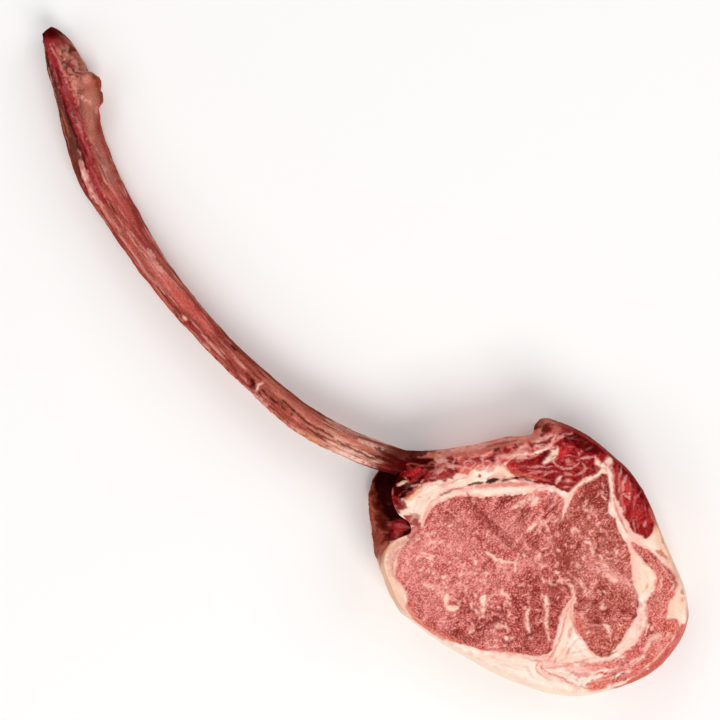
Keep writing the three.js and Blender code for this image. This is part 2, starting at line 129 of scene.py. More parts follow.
# ---- Strokes: what shows on the cut face, read off it ------------------------------
# Each is a colour, a width, a strength from 0 to 1, a depth (a groove, or minus for a ridge) and
# the points that it follows.
FACE_STROKES = [
    # the eye's streaks and spots of fat
    ("marble", 2.8, 0.95, -0.2, (140.3, -30.5), (141.5, -33.5), (146.3, -37.5)),
    ("pink", 1.2, 0.7, 0, (142, -31), (143, -28), (145.5, -25.5)),
    ("marble", 2.2, 0.9, -0.1, (125.5, -43), (128, -46.5), (130, -49)),
    ("marble", 2.4, 0.85, 0, (130, -49), (133, -48), (135, -45)),
    ("pink", 1.6, 0.6, 0, (128, -45), (131, -43.5), (135.5, -43)),
    ("marble", 4.2, 0.8, -0.2, (148, -48.5), (149, -48.3)),
    ("pink", 4, 0.6, 0, (141.5, -49.5), (143, -50)),
    ("marble", 3, 0.7, 0, (155.5, -37.7), (158, -36.5)),
    ("marble", 2, 1, -0.2, (163.3, -38.3), (164.7, -38.8)),
    ("pink", 2.5, 0.6, 0, (156, -42), (158, -40.5)),
    ("pink", 1.4, 0.6, 0, (144, -38.5), (147.5, -42)),
    ("marble", 3.4, 0.6, 0, (132.3, -21.8), (133.6, -23.2)),
    ("pink", 1.2, 0.6, 0, (129.7, -21.8), (127.5, -24)),
    ("pink", 1.2, 0.7, 0, (126.5, -26), (128.5, -30)),
    ("marble", 1.5, 0.5, 0, (131, -35.5), (132.2, -36.5)),
    ("pink", 2, 0.45, 0, (136.5, -30), (137, -33)),
    ("marble", 1.8, 0.8, -0.1, (125.5, -14.5), (128, -13.5), (131, -13.6), (135, -11.5), (139.5, -7.5)),
    ("marble", 1.2, 0.8, 0, (139.7, -7.5), (138.7, -5), (137.3, -3.3)),
    ("marble", 1.1, 0.8, 0, (139.9, -7.3), (142.8, -10.8)),
    ("pink", 3, 0.35, 0, (127, -6.5), (131, -5)),
    ("pink", 1.4, 0.65, 0, (137.6, 3.3), (139, 0.5)),
    ("marble", 1.5, 0.75, 0, (145, 5), (147.4, 2.7)),
    ("pink", 4.2, 0.6, 0, (144.2, 18.8), (145.6, 17.4)),
    ("marble", 1.8, 0.65, 0, (148.5, 27), (149.5, 24.5)),
    ("marble", 2.2, 0.8, 0, (132.9, 15), (132.6, 12), (132.5, 8.3)),
    ("rust", 2, 0.5, 0, (130.3, 17), (131, 11)),
    ("pink", 1.1, 0.6, 0, (143, -16), (144.5, -19)),
    ("marble", 1.6, 0.75, 0, (144.5, -22), (146, -24), (149, -22)),
    ("marble", 1, 0.7, 0, (149, -22), (152.5, -25)),
    ("rust", 1.3, 0.4, 0, (146.3, -21.3), (149.7, -20.8)),
    ("pink", 1, 0.5, 0, (152.5, 6), (152, 2.3)),
    ("pink", 1.1, 0.6, 0, (157.3, -2.6), (160.6, 0.3)),
    ("marble", 2.1, 0.9, -0.1, (163, -8.6), (166, -11), (170, -14)),
    ("marble", 1.2, 0.85, 0, (170, -14), (171.5, -17), (175, -19.5), (180.5, -23.5)),
    ("pink", 1.2, 0.7, 0, (160.8, -8.5), (163, -11.5)),
    ("marble", 1.7, 0.85, 0, (162, -19), (163.2, -22.5), (166.5, -25.8), (170.5, -27.6)),
    ("pink", 2, 0.45, 0, (172.3, -30.3), (174.5, -28.5)),
    ("marble", 2.6, 0.65, 0, (93.7, -34.7), (95.6, -33.8)),
    ("marble", 1.1, 0.5, 0, (96.6, -28.2), (99, -25.5)),
    ("pink", 1.7, 0.55, 0, (99.5, -33.2), (105.5, -32.6)),
    ("marble", 1.3, 0.65, 0, (101.5, -40), (102.6, -43)),
    ("marble", 1.7, 0.75, 0, (118.4, -40), (119.7, -37.5)),
    ("marble", 1.7, 0.5, 0, (115.5, -49), (118, -46.3)),
    ("pink", 1.2, 0.5, 0, (94, -44), (95.2, -41)),
    ("rust", 3, 0.4, 0, (99.6, -52.5), (101.5, -55.8), (107, -57.2)),
    ("rust", 3.6, 0.6, 0, (113, -59.6), (118, -63.6), (125, -65), (133, -63.6), (141, -61), (150, -56.3)),
    ("rust", 2.4, 0.35, 0, (150, -56.3), (161, -49.6), (172, -40.8), (182, -32.8)),
    ("marble", 2, 0.7, 0, (121.5, 25), (121.6, 21), (120, 17), (119.4, 12)),
    ("marble", 2.8, 0.75, 0, (122.6, 25.6), (124.4, 22), (126.2, 18.8)),
    ("rust", 2.8, 0.6, 0, (120.5, 24.7), (123.5, 27.3), (126.3, 29)),
    ("rust", 3.4, 0.6, 0, (127, 27.5), (127.6, 22), (128.4, 17.5)),
    ("pink", 1, 0.5, 0, (117.7, 20), (116.2, 15), (115, 9.5)),
    ("dusky", 1, 0.6, 0.15, (119, 22), (117.7, 15), (117, 9)),
    ("dusky", 0.9, 0.5, 0.1, (116, 19), (114, 12)),
    # painted shade along the crease across the eye, where the cut face steps down
    ("dusky", 2, 0.5, 0.35, (96, 0.5), (104, -1.5), (112, -1.8), (120, -1.2), (128, 0), (137, 0.6)),
    ("dusky", 3, 0.35, 0.15, (112, -4), (122, -3.5), (134, -3)),
    # the side muscle
    ("marble", 1.6, 0.7, 0, (158, 25.8), (160, 27.4), (163, 25.6), (166.5, 24.2)),
    # painted shadow along this groove
    ("dusky", 1.3, 0.9, 0.35, (155.4, 24), (157, 22), (157.2, 18.3)),
    ("crimson", 4, 0.35, 0, (160.5, 28.6), (167, 28.2)),
    ("crimson", 1.4, 0.75, 0.2, (170.2, 28.6), (172.2, 30.4)),
    ("pink", 5.5, 0.5, -0.1, (171, 24), (178, 22.6), (184, 24.2), (188, 27.5)),
    ("marble", 2.2, 0.6, 0, (177.5, 22.2), (181.5, 21.6), (184, 24)),
    ("marble", 1.6, 0.5, 0, (189, 26.5), (193, 27)),
    ("marble", 1.8, 0.5, 0, (163, 15), (165.2, 14.4)),
    ("marble", 1.4, 0.7, 0, (168, 9), (171, 9.2), (173.6, 8.4)),
    ("marble", 1.5, 0.6, 0, (174.6, 9.2), (177.2, 7)),
    ("crimson", 2.2, 0.4, 0, (170.3, 7.2), (172, 6)),
    ("marble", 1.3, 0.7, 0, (167, 4.2), (170, 4.6), (172.3, 3), (174.4, 0)),
    ("pink", 1.5, 0.5, 0, (180, 13), (183.3, 12)),
    ("marble", 3.2, 0.6, 0, (187.6, 9.2), (189, 8)),
    ("marble", 1.9, 0.8, 0, (195, 2.4), (197, 3.2), (200, 1.4)),
    ("pink", 1.1, 0.6, 0, (186, -5), (190, -2.6), (194, 0.6)),
    ("rust", 4, 0.55, 0, (181, -4.6), (186, -7.4), (192, -8.6)),
    ("pink", 1.7, 0.5, 0, (201, -7), (204.3, -5.6)),
    ("pink", 2.4, 0.6, 0, (194, -11), (197, -11.6)),
    ("crimson", 1.8, 0.6, 0.1, (198.3, 17.6), (198.9, 17.2)),
    ("rust", 3.4, 0.5, 0, (202.6, 15), (203.6, 8), (203.2, 3)),
    ("marble", 1.5, 0.5, 0, (143, 42), (145, 38), (148, 38.4)),
    ("marble", 1.4, 0.5, 0, (147.5, 42), (149, 38.5)),
    ("pink", 1.1, 0.6, 0, (144.7, 49), (145.6, 46.5)),
    ("pink", 1.1, 0.45, 0, (151.5, 46.6), (152.2, 42)),
    ("rust", 2.6, 0.5, 0, (136.4, 43), (137.4, 38), (139.8, 35)),
    ("crimson", 3.2, 0.55, 0, (139.3, 57), (140.5, 51), (141, 46)),
    ("maroon", 1.1, 0.6, 0.2, (144, 56), (148, 53), (152.5, 50)),
    # the dark muscle in the chine corner
    ("marble", 3.4, 0.85, -0.3, (113.2, 50.3), (114, 46), (113.6, 40.2)),
    ("scarlet", 2.6, 0.8, 0, (116.4, 52.5), (117, 46.5)),
    ("pink", 1.2, 0.65, -0.2, (115, 44), (119, 43.5), (123, 45), (126, 48.4), (126.6, 53)),
    ("pink", 2.4, 0.4, 0, (121, 50.4), (122.6, 48.2)),
    ("pink", 1.2, 0.75, -0.2, (129.8, 60.4), (127, 57), (124.5, 53.3)),
    ("pink", 1.4, 0.55, 0, (128, 54), (131.4, 53), (131, 50), (130, 46.6)),
    ("pink", 1.8, 0.75, 0, (122.8, 57.8), (123.8, 55.6)),
    ("pink", 1, 0.5, 0, (124.5, 43.6), (128.3, 45.6)),
    ("marble", 1.4, 0.7, 0, (124.8, 41), (125.2, 36.8)),
    ("pink", 1.1, 0.6, 0, (129.6, 42.5), (127.6, 39)),
    ("pink", 1.3, 0.6, 0, (118.6, 37.2), (118, 33)),
    ("pink", 0.9, 0.45, -0.2, (106, 30), (112, 35.5), (118, 41.5)),
    ("pink", 0.9, 0.45, -0.2, (110.5, 30.8), (116, 36), (122, 41.6)),
    ("rust", 1.6, 0.5, 0, (104, 25.8), (110, 27.6), (117, 31.8), (122, 34.8)),
    ("pink", 1.4, 0.7, -0.3, (102, 31.6), (105.6, 35.6), (109, 41.5)),
    ("pink", 2.2, 0.6, -0.2, (110.4, 47), (109, 51.6), (110.6, 57), (113, 61)),
    ("pink", 1, 0.5, 0, (113.6, 57.4), (116.6, 61.8)),
    ("pink", 1, 0.6, 0, (124, 60), (126, 64)),
    ("maroon", 3.2, 0.45, 0.2, (111.6, 38.6), (110.6, 43), (112, 46)),
    ("maroon", 6, 0.75, 0.1, (112, 57.6), (119, 61), (127, 64), (131, 65)),
    ("crimson", 4, 0.9, 0, (131.6, 64.2), (134.6, 63.4)),
    # the star of fat, and the upper cap's parallel streaks
    ("rose", 5, 0.85, 0, (142, 63), (146.6, 59), (150.6, 55)),
    ("pink", 6, 0.8, 0, (137, 63), (139.4, 61)),
    ("marble", 2.2, 0.9, -0.3, (130.6, 60.8), (134, 59.4), (138, 61.4)),
    ("marble", 3.4, 0.9, -0.3, (136.6, 66.4), (137.8, 62)),
    ("marble", 2, 0.9, -0.3, (138.4, 61.6), (142.6, 59.8), (146, 56.6), (149, 54.2)),
    ("marble", 1.8, 0.9, -0.3, (137.9, 60), (137.6, 55), (136.2, 49.6), (134.6, 45), (134.4, 38)),
    ("rust", 1.2, 0.6, 0, (135.8, 46.6), (135.9, 42), (136.8, 38)),
    ("rose", 1.6, 0.8, -0.2, (142, 66.6), (144, 63), (147, 60)),
    ("pink", 1.4, 0.75, -0.2, (144.5, 66.6), (146.5, 62), (149.5, 58.6), (155, 52.6)),
    ("pink", 1.8, 0.7, -0.2, (149, 66.4), (150, 61.6), (153, 57.6), (157, 53.2)),
    ("rose", 1.6, 0.8, -0.2, (160.3, 66), (160.2, 60.4), (163.4, 56)),
    ("rose", 1.4, 0.5, 0, (153, 64), (156.4, 60.2)),
    ("pink", 2.2, 0.7, 0, (154, 58), (156.4, 59.4), (158.2, 58.2)),
    ("pink", 1.8, 0.55, 0, (172.4, 55.2), (174, 53.4)),
    ("membrane", 2, 0.6, 0, (169, 62.4), (173, 60.4), (178, 58.6)),
    ("crimson", 3, 0.5, 0, (140, 66), (142.6, 65)),
    ("maroon", 2.2, 0.6, 0.2, (152, 65.6), (157, 65.2), (164, 63)),
    ("crimson", 2, 0.9, 0.2, (142.6, 64.4), (146.4, 60), (151, 56), (155, 53)),
    ("rose", 1.3, 0.8, 0, (146, 63.4), (151, 58.4), (157, 53.4), (162, 51)),
    ("crimson", 1.2, 0.8, 0.2, (148.6, 58.4), (153, 54.8), (157.6, 52)),
    ("blush", 1, 0.7, 0, (156, 50.4), (162, 47), (170, 44.6)),
    ("blush", 1.1, 0.6, 0, (152, 52.6), (158, 49), (166, 46.4)),
    # the fat of the cap
    ("suet", 3, 0.4, 0, (182, 56.4), (186, 51.6)),
    ("rust", 2.2, 0.75, 0.1, (187, 48.9), (191.6, 50.4), (196.4, 49.8)),
    ("umber", 1.6, 0.5, 0, (180.4, 58.4), (185, 56.4), (189.6, 53)),
    ("suet", 3, 0.6, 0, (188, 53.4), (196, 51.4), (206, 48.6)),
    ("membrane", 1.8, 0.7, 0.2, (211.8, 44.2), (213.6, 43)),
    ("rust", 2, 0.5, 0, (214.6, 41.2), (216, 39.6)),
    ("membrane", 2.6, 0.5, 0.3, (201, 23.8), (202.4, 22.4)),
    ("membrane", 1, 0.4, 0.1, (196, 33.4), (197.6, 31)),
    ("dusky", 1.2, 0.5, 0.3, (183, 34.4), (186, 31.2), (190, 27.6), (198, 24.6), (201.4, 21)),
    # the cap muscle
    ("crimson", 2.2, 0.85, 0.1, (215, 11), (216.6, 10.2)),
    ("crimson", 2.2, 0.85, 0.1, (214.6, 7.2), (215.6, 6.6)),
    ("rust", 2, 0.95, 0.2, (212.8, 0.4), (214, 1.2)),
    ("rust", 5.4, 0.55, 0, (218.5, 29.6), (222, 27.6), (219.6, 24.4)),
    ("rust", 5, 0.5, 0, (220, 18), (223.6, 10), (225, 0), (224, -8)),
    ("pink", 1.3, 0.5, 0, (223.6, 29), (224.4, 24), (221.6, 18), (219.4, 12)),
    ("pink", 5, 0.45, 0, (215.6, -2), (216.6, -8), (213, -14)),
    ("rust", 3.6, 0.75, 0, (218.8, -15), (217.4, -21), (211.4, -25.4)),
    ("marble", 2.2, 0.5, 0, (220.6, -3), (221.4, -8)),
    ("marble", 2, 0.55, 0, (206.4, -21.6), (207.6, -24)),
    ("marble", 1.4, 0.6, 0, (193, -33.8), (199, -31), (202, -28.4)),
    ("maroon", 0.9, 0.75, 0.6, (209.6, -2.4), (208.8, -5), (208, -8.2)),
    ("marble", 2, 0.6, 0, (208, 14), (211, 5), (210.6, -2)),
    ("umber", 0.9, 0.5, 0.2, (209.4, 15.6), (210.4, 13.8)),
    ("rust", 2.8, 0.5, 0, (176.6, 43), (185, 44.6), (192, 42.2), (200, 41.6)),
    ("crimson", 4.4, 0.35, 0, (199.6, 45.6), (204, 45.4), (207.6, 43.8)),
    ("blush", 6, 0.9, 0.2, (226.6, -10), (229.8, 0), (230.6, 12), (228.4, 25), (225, 31)),
    ("lean", 2.4, 0.7, 0, (228.4, -2), (229.6, 8), (228.8, 18)),
    ("membrane", 1.6, 0.8, 0, (224.6, -14), (226.4, -8), (230.6, 2), (231.4, 14)),
    ("suet", 1.3, 0.6, 0, (226, 0), (227, 9), (225.6, 20)),
    ("lean", 2, 0.5, 0, (222.6, 24), (225.4, 14), (225.6, 4)),
    ("marble", 3, 0.6, 0, (219.4, 20), (217.4, 14), (219.6, 8)),
    ("membrane", 6, 0.45, 0, (204.6, 38), (208, 30), (209.6, 24)),
    ("pink", 4, 0.5, 0, (204, 26), (207.6, 18), (211, 12)),
    ("crimson", 2, 0.4, 0, (203.6, 32), (206, 26)),
    ("rose", 3, 0.6, 0, (216, 14), (217.4, 4), (217, -4)),
    ("rust", 6.4, 0.6, 0, (217.4, -15.6), (216.4, -21), (212, -25.6)),
    ("fleck", 6, 0.35, 0, (196, -27), (203, -23), (209, -17)),
    ("blush", 2.4, 0.5, 0, (198, -28.6), (204, -26), (208.6, -21)),
    ("cream", 1.6, 0.7, -0.2, (197, -24), (202, -21), (205, -15)),
    ("cream", 1.2, 0.7, -0.2, (193, -33), (199, -28.6), (204.6, -27)),
    ("blush", 2.6, 0.5, 0, (201, -21), (205.4, -17)),
    # strands in the wedge of fat
    ("blush", 1, 0.6, 0.2, (176, -4.6), (181, -13.6), (185, -21), (187.4, -31)),
    ("pink", 1.2, 0.6, 0.2, (179.4, -2.4), (185, -11.6), (189.4, -20), (190.6, -30)),
    ("pink", 1.1, 0.6, 0.2, (198, -12.6), (194, -20), (191, -31)),
    ("blush", 0.9, 0.5, 0.2, (204, -12.4), (199.6, -20), (193.6, -31), (188.4, -36)),
    ("pink", 1.4, 0.5, 0.1, (191, -10.6), (190.6, -15), (192.4, -20)),
    ("rust", 2, 0.35, 0, (184.6, -10.8), (186.4, -15.4)),
    ("blush", 1, 0.4, 0.1, (209.4, -9), (206.6, -14), (203, -19)),
    ("rose", 1.4, 0.5, 0.1, (191, -19), (192.6, -22.4)),
    ("rose", 1.8, 0.5, 0.1, (189.4, -27), (191.4, -30)),
    # the fat and the slit between the rib side and the eye
    ("suet", 4, 0.5, 0, (76.6, -14), (76.4, -20), (77.4, -25.4)),
    ("pink", 3.6, 0.7, 0, (96, 4), (103, 11.6), (108, 17), (113, 22.6), (119, 28.4)),
    ("rust", 2.2, 0.7, 0, (97, 6), (103.6, 13.6), (109, 19.4), (115.6, 26)),
    ("rust", 2, 0.5, 0, (107, 18.6), (112, 22.4), (118, 29)),
    ("blush", 2.2, 0.55, 0, (106, 21.6), (111, 25.4), (116, 30)),
    ("cream", 1.8, 0.8, 0, (98, 3), (105, 11), (111, 18), (117.6, 25)),
    ("membrane", 4.4, 0.35, 0.6, (99, 13.4), (102.4, 17.6), (106, 20.8)),
    ("rust", 1.8, 0.6, 0, (99.6, 24.2), (106, 24.8), (115, 30.4), (123, 35.4)),
    ("pink", 3, 0.5, 0, (91.6, -2), (97, 6), (104, 15), (112, 23), (120, 30)),
    # painted shade: dark umber and maroon down the slit between the layers of fat
    ("umber", 1.5, 0.85, 1.4, (94, 4), (96, 7.4), (98.2, 10)),
    ("maroon", 2, 0.95, 1.6, (99.4, 11.6), (101.2, 14.4), (103, 17)),
    ("umber", 1.5, 0.8, 1, (104.4, 18), (106.6, 20.6)),
    ("umber", 1.2, 0.75, 0.8, (107.2, 21.6), (109, 24), (110.8, 26.2), (113, 27.6), (116, 28.6)),
    ("maroon", 1.3, 0.8, 0.8, (108.6, 23.6), (110, 25.2)),
    ("crimson", 1.9, 1, 1.6, (117, 29.8), (121, 33), (125, 35.6)),
    ("umber", 1, 0.65, 0.6, (91.2, -1.8), (89.2, -5), (88.2, -8), (87, -9.8)),
    ("blush", 0.9, 0.5, 0.4, (94, 4), (92, 0), (90.6, -2)),
    ("blush", 1.1, 0.45, 0.2, (79.8, -19), (81.2, -17.4)),
    ("blush", 0.9, 0.35, 0.1, (84.2, -16.2), (84, -14.8)),
    ("pink", 3.4, 0.7, 0, (90.4, -40), (90.4, -46), (92.6, -53), (98, -58.4)),
    ("blush", 1.4, 0.5, 0, (92.6, -42), (92.4, -48), (95.4, -54), (100, -58)),
    ("rust", 2.8, 0.8, 0.2, (87.4, 6.2), (89, 9.6)),
    ("rust", 2.2, 0.55, 0.1, (90.6, 12.2), (94, 15.6)),
    ("crimson", 1.9, 0.9, 0.2, (94.2, 10.8), (94.8, 11.6)),
    ("rust", 3.2, 0.5, 0, (97, 19.4), (95.4, 16)),
    ("pink", 6, 0.35, 0, (101, 36), (103, 31)),
    # the rib-side strip
    ("membrane", 5, 0.5, -0.4, (72, 3), (80, 13), (88, 24), (95, 35), (99.6, 43)),
    ("crimson", 3.6, 0.9, 0.7, (97, 35.6), (98, 34.6)),
    ("crimson", 3.2, 0.85, 0.6, (102.2, 41), (102.8, 42.4)),
    ("crimson", 1.6, 0.6, 0.2, (103.6, 38.4), (105, 38)),
    ("maroon", 2.8, 0.85, 0.7, (91.4, 26.4), (91.6, 29)),
    ("crimson", 2.6, 0.8, 0.5, (94.4, 31), (96, 30)),
    ("crimson", 3, 0.8, 0.6, (88, 24.2), (89.4, 24.4)),
    ("maroon", 1.6, 0.85, 0.8, (93.4, 21.6), (94.8, 22.8)),
    ("crimson", 2, 0.6, 0.3, (85.4, 13.4), (88.4, 17.6)),
    # painted shade: near-black in a pit of the rib-side strip
    ("void", 1.4, 0.9, 1, (81.2, 7), (82.2, 8.4)),
    ("crimson", 2.6, 0.45, 0.2, (81, 12.8), (83.6, 14.6)),
    ("crimson", 2.2, 0.6, 0.2, (76.8, 7), (77.6, 8.4)),
    ("crimson", 5.4, 0.85, 0.5, (83.6, 4), (82.6, 0), (79.6, -4.6)),
    ("maroon", 2.6, 0.5, 0.3, (83.4, 3), (81, 2.4)),
    ("pink", 2.6, 0.7, -0.5, (73, 1.2), (74.8, 4)),
    ("pink", 1.2, 0.6, -0.4, (77.6, 1.4), (81, 4.8), (86, 9.6)),
    ("pink", 1.1, 0.5, -0.3, (83.6, 11.6), (87.4, 14.4)),
    ("pink", 2.6, 0.6, -0.5, (96.6, 26.6), (99.8, 31), (103.4, 36), (106, 39.6)),
    ("pink", 1.6, 0.5, -0.4, (93, 24), (96.6, 28.6)),
    ("pink", 2.8, 0.85, -1.2, (99, 41.4), (102.6, 45), (105, 49.4), (105.6, 53.6)),
    # painted shadow beside the ridge on the nub
    ("maroon", 1.8, 0.6, 0.7, (107.4, 53.2), (106.6, 48.6), (104.4, 44.4)),
    ("umber", 5.4, 0.85, 0.9, (100.6, 55.4), (101.4, 51.4)),
    ("membrane", 4.4, 0.7, 0, (104.4, 58.6), (107.4, 56)),
    # the torn corner where the rib goes in; its maroon is painted shade under the rib, with clotted blood
    ("maroon", 10, 1, 0.6, (58, -11), (65, -5), (70, 0.4)),
    ("maroon", 12, 1, 0.6, (62, -15), (66, -22), (72, -28)),
    ("maroon", 7, 0.95, 1.2, (73, -10), (72.6, -18), (74, -25)),
    ("umber", 3, 0.6, 0, (60, -7), (66, -2), (70.6, 2)),
    ("crimson", 4, 1, -0.4, (69.6, -7), (68.4, -13), (67.4, -17)),
    ("scarlet", 2.4, 0.7, 0, (70.4, -8), (69.6, -12), (68.4, -15)),
    ("crimson", 3.4, 0.95, 0, (73, -6), (72.4, -11), (71.6, -16)),
    ("crimson", 2.6, 0.8, 0, (65.6, -11), (64.8, -16), (65.4, -19)),
    ("dusky", 3, 0.8, 0, (64, -25.6), (67, -27.4), (71, -29)),
    ("membrane", 2, 0.7, -0.3, (64.6, -25), (67.4, -26.6), (70, -28)),
    ("rust", 1.8, 0.8, -0.3, (69.4, -17), (71.4, -17.6)),
    ("suet", 2, 1, -0.3, (70, -17.6), (69.2, -20.4), (68.4, -22.6)),
    ("pink", 1.1, 0.9, -0.2, (75.6, -13.6), (74.6, -16), (73.2, -17.6)),
    ("pink", 0.9, 0.8, -0.4, (76.4, -9), (75.6, -12.6)),
    ("rose", 1.2, 0.6, 0, (74.6, -19.6), (73.4, -23), (72.6, -26)),
    ("membrane", 0.8, 0.5, -0.5, (63, -13), (66, -9), (70.4, -6), (74, -2)),
    ("membrane", 1.1, 0.6, -0.3, (71.4, -3), (75, 0.6), (78, 3)),
    ("maroon", 2.6, 0.95, 2, (75.2, -18), (74.4, -22), (74, -25)),
    ("maroon", 1.8, 0.9, 1.2, (71.4, -20), (70.8, -23.6)),
    ("gold", 2.2, 0.6, 0, (78, -13), (77.8, -19), (77, -25)),
    ("crimson", 1.8, 0.9, 0.2, (76.6, -5), (75.4, -9), (76.8, -12.4)),
    ("crimson", 1.6, 0.8, 0.2, (74.6, -17), (76.4, -20), (74.6, -22.6)),
    ("rust", 1.8, 0.8, 0, (76.6, -12), (76.2, -19), (75.6, -25)),
    ("crimson", 5, 0.95, 0.6, (72, -28), (75.6, -28.6), (79, -27.4)),
    ("scarlet", 1.4, 0.4, 0, (74, -29.8), (77.6, -29.8)),
    ("maroon", 2, 0.5, 0.2, (73, -28.8), (78, -28.6)),
    ("crimson", 2.6, 0.9, 0.3, (72, -30.6), (76, -31.6), (79, -32)),
    ("rose", 0.9, 0.35, 0, (73.6, -26.8), (77, -28)),
    ("marble", 2.6, 0.95, -0.4, (80.4, -26.6), (80.6, -31.6)),
    ("crimson", 5, 0.9, 0.3, (82.6, -31), (86, -30), (90, -29)),
    ("crimson", 3.4, 0.6, 0.2, (84, -27.6), (88, -26.6)),
    ("rose", 1.2, 0.5, 0, (82.4, -28), (86, -30.8), (90, -31)),
    ("pink", 1.2, 0.8, -0.2, (83, -25), (85.6, -28), (86.4, -31)),
    ("pink", 1.2, 0.7, -0.2, (87, -25), (89.4, -28)),
    ("lean", 4.4, 0.9, 0, (91.4, -29.6), (91, -33), (91, -37.4)),
    ("fleck", 2, 0.5, 0, (90.6, -31), (91.4, -36.6)),
]
# Soft patches on the lean: a colour, a strength, the middle, half the length and the width, the turn.
FACE_CLOUDS = [
    # the first patch is painted shade along the crease across the eye
    ("dusky", 0.5, (118, -2), 25, 3, 3), ("crimson", 0.35, (104, -4.5), 7, 4, 0),
    ("dusky", 0.3, (113, -12), 17, 4, 8), ("fleck", 0.3, (110, -20), 14, 7, -20),
    ("fleck", 0.35, (100, -42), 10, 9, 60), ("fleck", 0.35, (120, -53), 17, 4.5, -12),
    ("fleck", 0.25, (132, -30), 14, 6, 50), ("dusky", 0.4, (153, -28), 26, 4.5, 84),
    ("dusky", 0.5, (170, -24), 17, 10, -58), ("dusky", 0.4, (164, 0), 12, 7, -75),
    ("dusky", 0.35, (150, 13), 13, 8, 40), ("dusky", 0.4, (148, -53), 12, 4, 32),
    ("crimson", 0.3, (163, -20), 5, 3, 60), ("fleck", 0.3, (124, 4), 9, 5, 0),
    ("dusky", 0.35, (98, -14), 4, 7, 10), ("fleck", 0.25, (141, -12), 12, 4, 78),
    ("fleck", 0.25, (160, -44), 6, 4, 40), ("dusky", 0.3, (136, -42), 9, 4, 70),
    ("dusky", 0.3, (127, 12), 5, 9, 0), ("crimson", 0.25, (140, 18), 7, 4, 60),
    ("dusky", 0.6, (146, 46), 13, 8, 65), ("crimson", 0.4, (142, 52), 8, 3, 70),
    ("dusky", 0.4, (168, 34), 17, 4.5, -36), ("fleck", 0.6, (180, 24.6), 14, 3.6, 8),
    ("fleck", 0.5, (196, 25), 6, 3, -40),
    ("dusky", 0.3, (158, 14), 10, 7, 0), ("dusky", 0.4, (181, 4), 11, 6, -25),
    ("dusky", 0.35, (196, 12), 12, 5, 80), ("fleck", 0.25, (170, 14), 8, 4, -20),
    ("rust", 0.3, (190, -6), 14, 3, 0), ("tan", 0.4, (151, 30), 8, 6, 40),
    ("crimson", 0.45, (79, -1), 10, 4.5, 56), ("maroon", 0.5, (74, -5), 7, 3.5, 60),
    ("crimson", 0.75, (190, 43.6), 14, 2.6, 2), ("rust", 0.4, (203, 43), 7, 4, -20),
    # the scarlet patches are partly painted sheen on the wet dark meat
    ("dusky", 0.3, (203, 30), 6, 9, 20), ("scarlet", 0.7, (116.5, 50.5), 2, 4, 0),
    ("scarlet", 0.8, (133, 63.4), 3, 2, 30), ("scarlet", 0.5, (154, 61), 6, 3.4, -10),
    ("scarlet", 0.5, (103, 27.5), 4, 2, 30), ("scarlet", 0.5, (167, 54.5), 4, 3, 0),
]
# The same on the fat.
FAT_CLOUDS = [
    ("pink", 0.75, (158, 51.5), 14, 2.6, -26), ("pink", 0.6, (175, 46), 9, 3, -12),
    ("suet", 0.8, (186, 54), 10, 4.5, -22), ("gold", 0.3, (184, 56.5), 7, 2.5, -25),
    ("suet", 0.75, (214, 37), 6, 9, 30), ("gold", 0.3, (219, 41), 7, 2.4, -45),
    ("pink", 0.5, (184, 35), 11, 2.4, -40), ("pink", 0.4, (203, 47), 8, 2.5, -20),
    ("pink", 0.55, (204.5, 15), 2, 12, 0), ("pink", 0.4, (212, 6), 2.4, 11, 0),
    ("pink", 0.6, (178, -7), 8, 2.6, -58), ("rust", 0.35, (185, -7.6), 6, 2, -12),
    ("pink", 0.3, (203, -20), 10, 6, 35), ("pink", 0.5, (191, -32), 7, 2.4, 20),
    ("suet", 0.6, (120, -65.5), 15, 3, 0), ("rust", 0.4, (127, -64), 12, 1.6, 2),
    ("pink", 0.5, (107, 27), 10, 2.6, 38), ("pink", 0.5, (101, 8), 12, 2.2, 47),
    ("gold", 0.45, (86.6, -50), 2.6, 10, -8), ("suet", 0.6, (75.5, -17), 2.4, 10, 0),
    ("pink", 0.5, (88, -14), 2, 10, 10), ("pink", 0.35, (168, -50), 16, 2.4, 35),
    ("suet", 0.5, (196, -47), 16, 3, 28), ("pink", 0.5, (137, 36), 3, 3, 0),
]
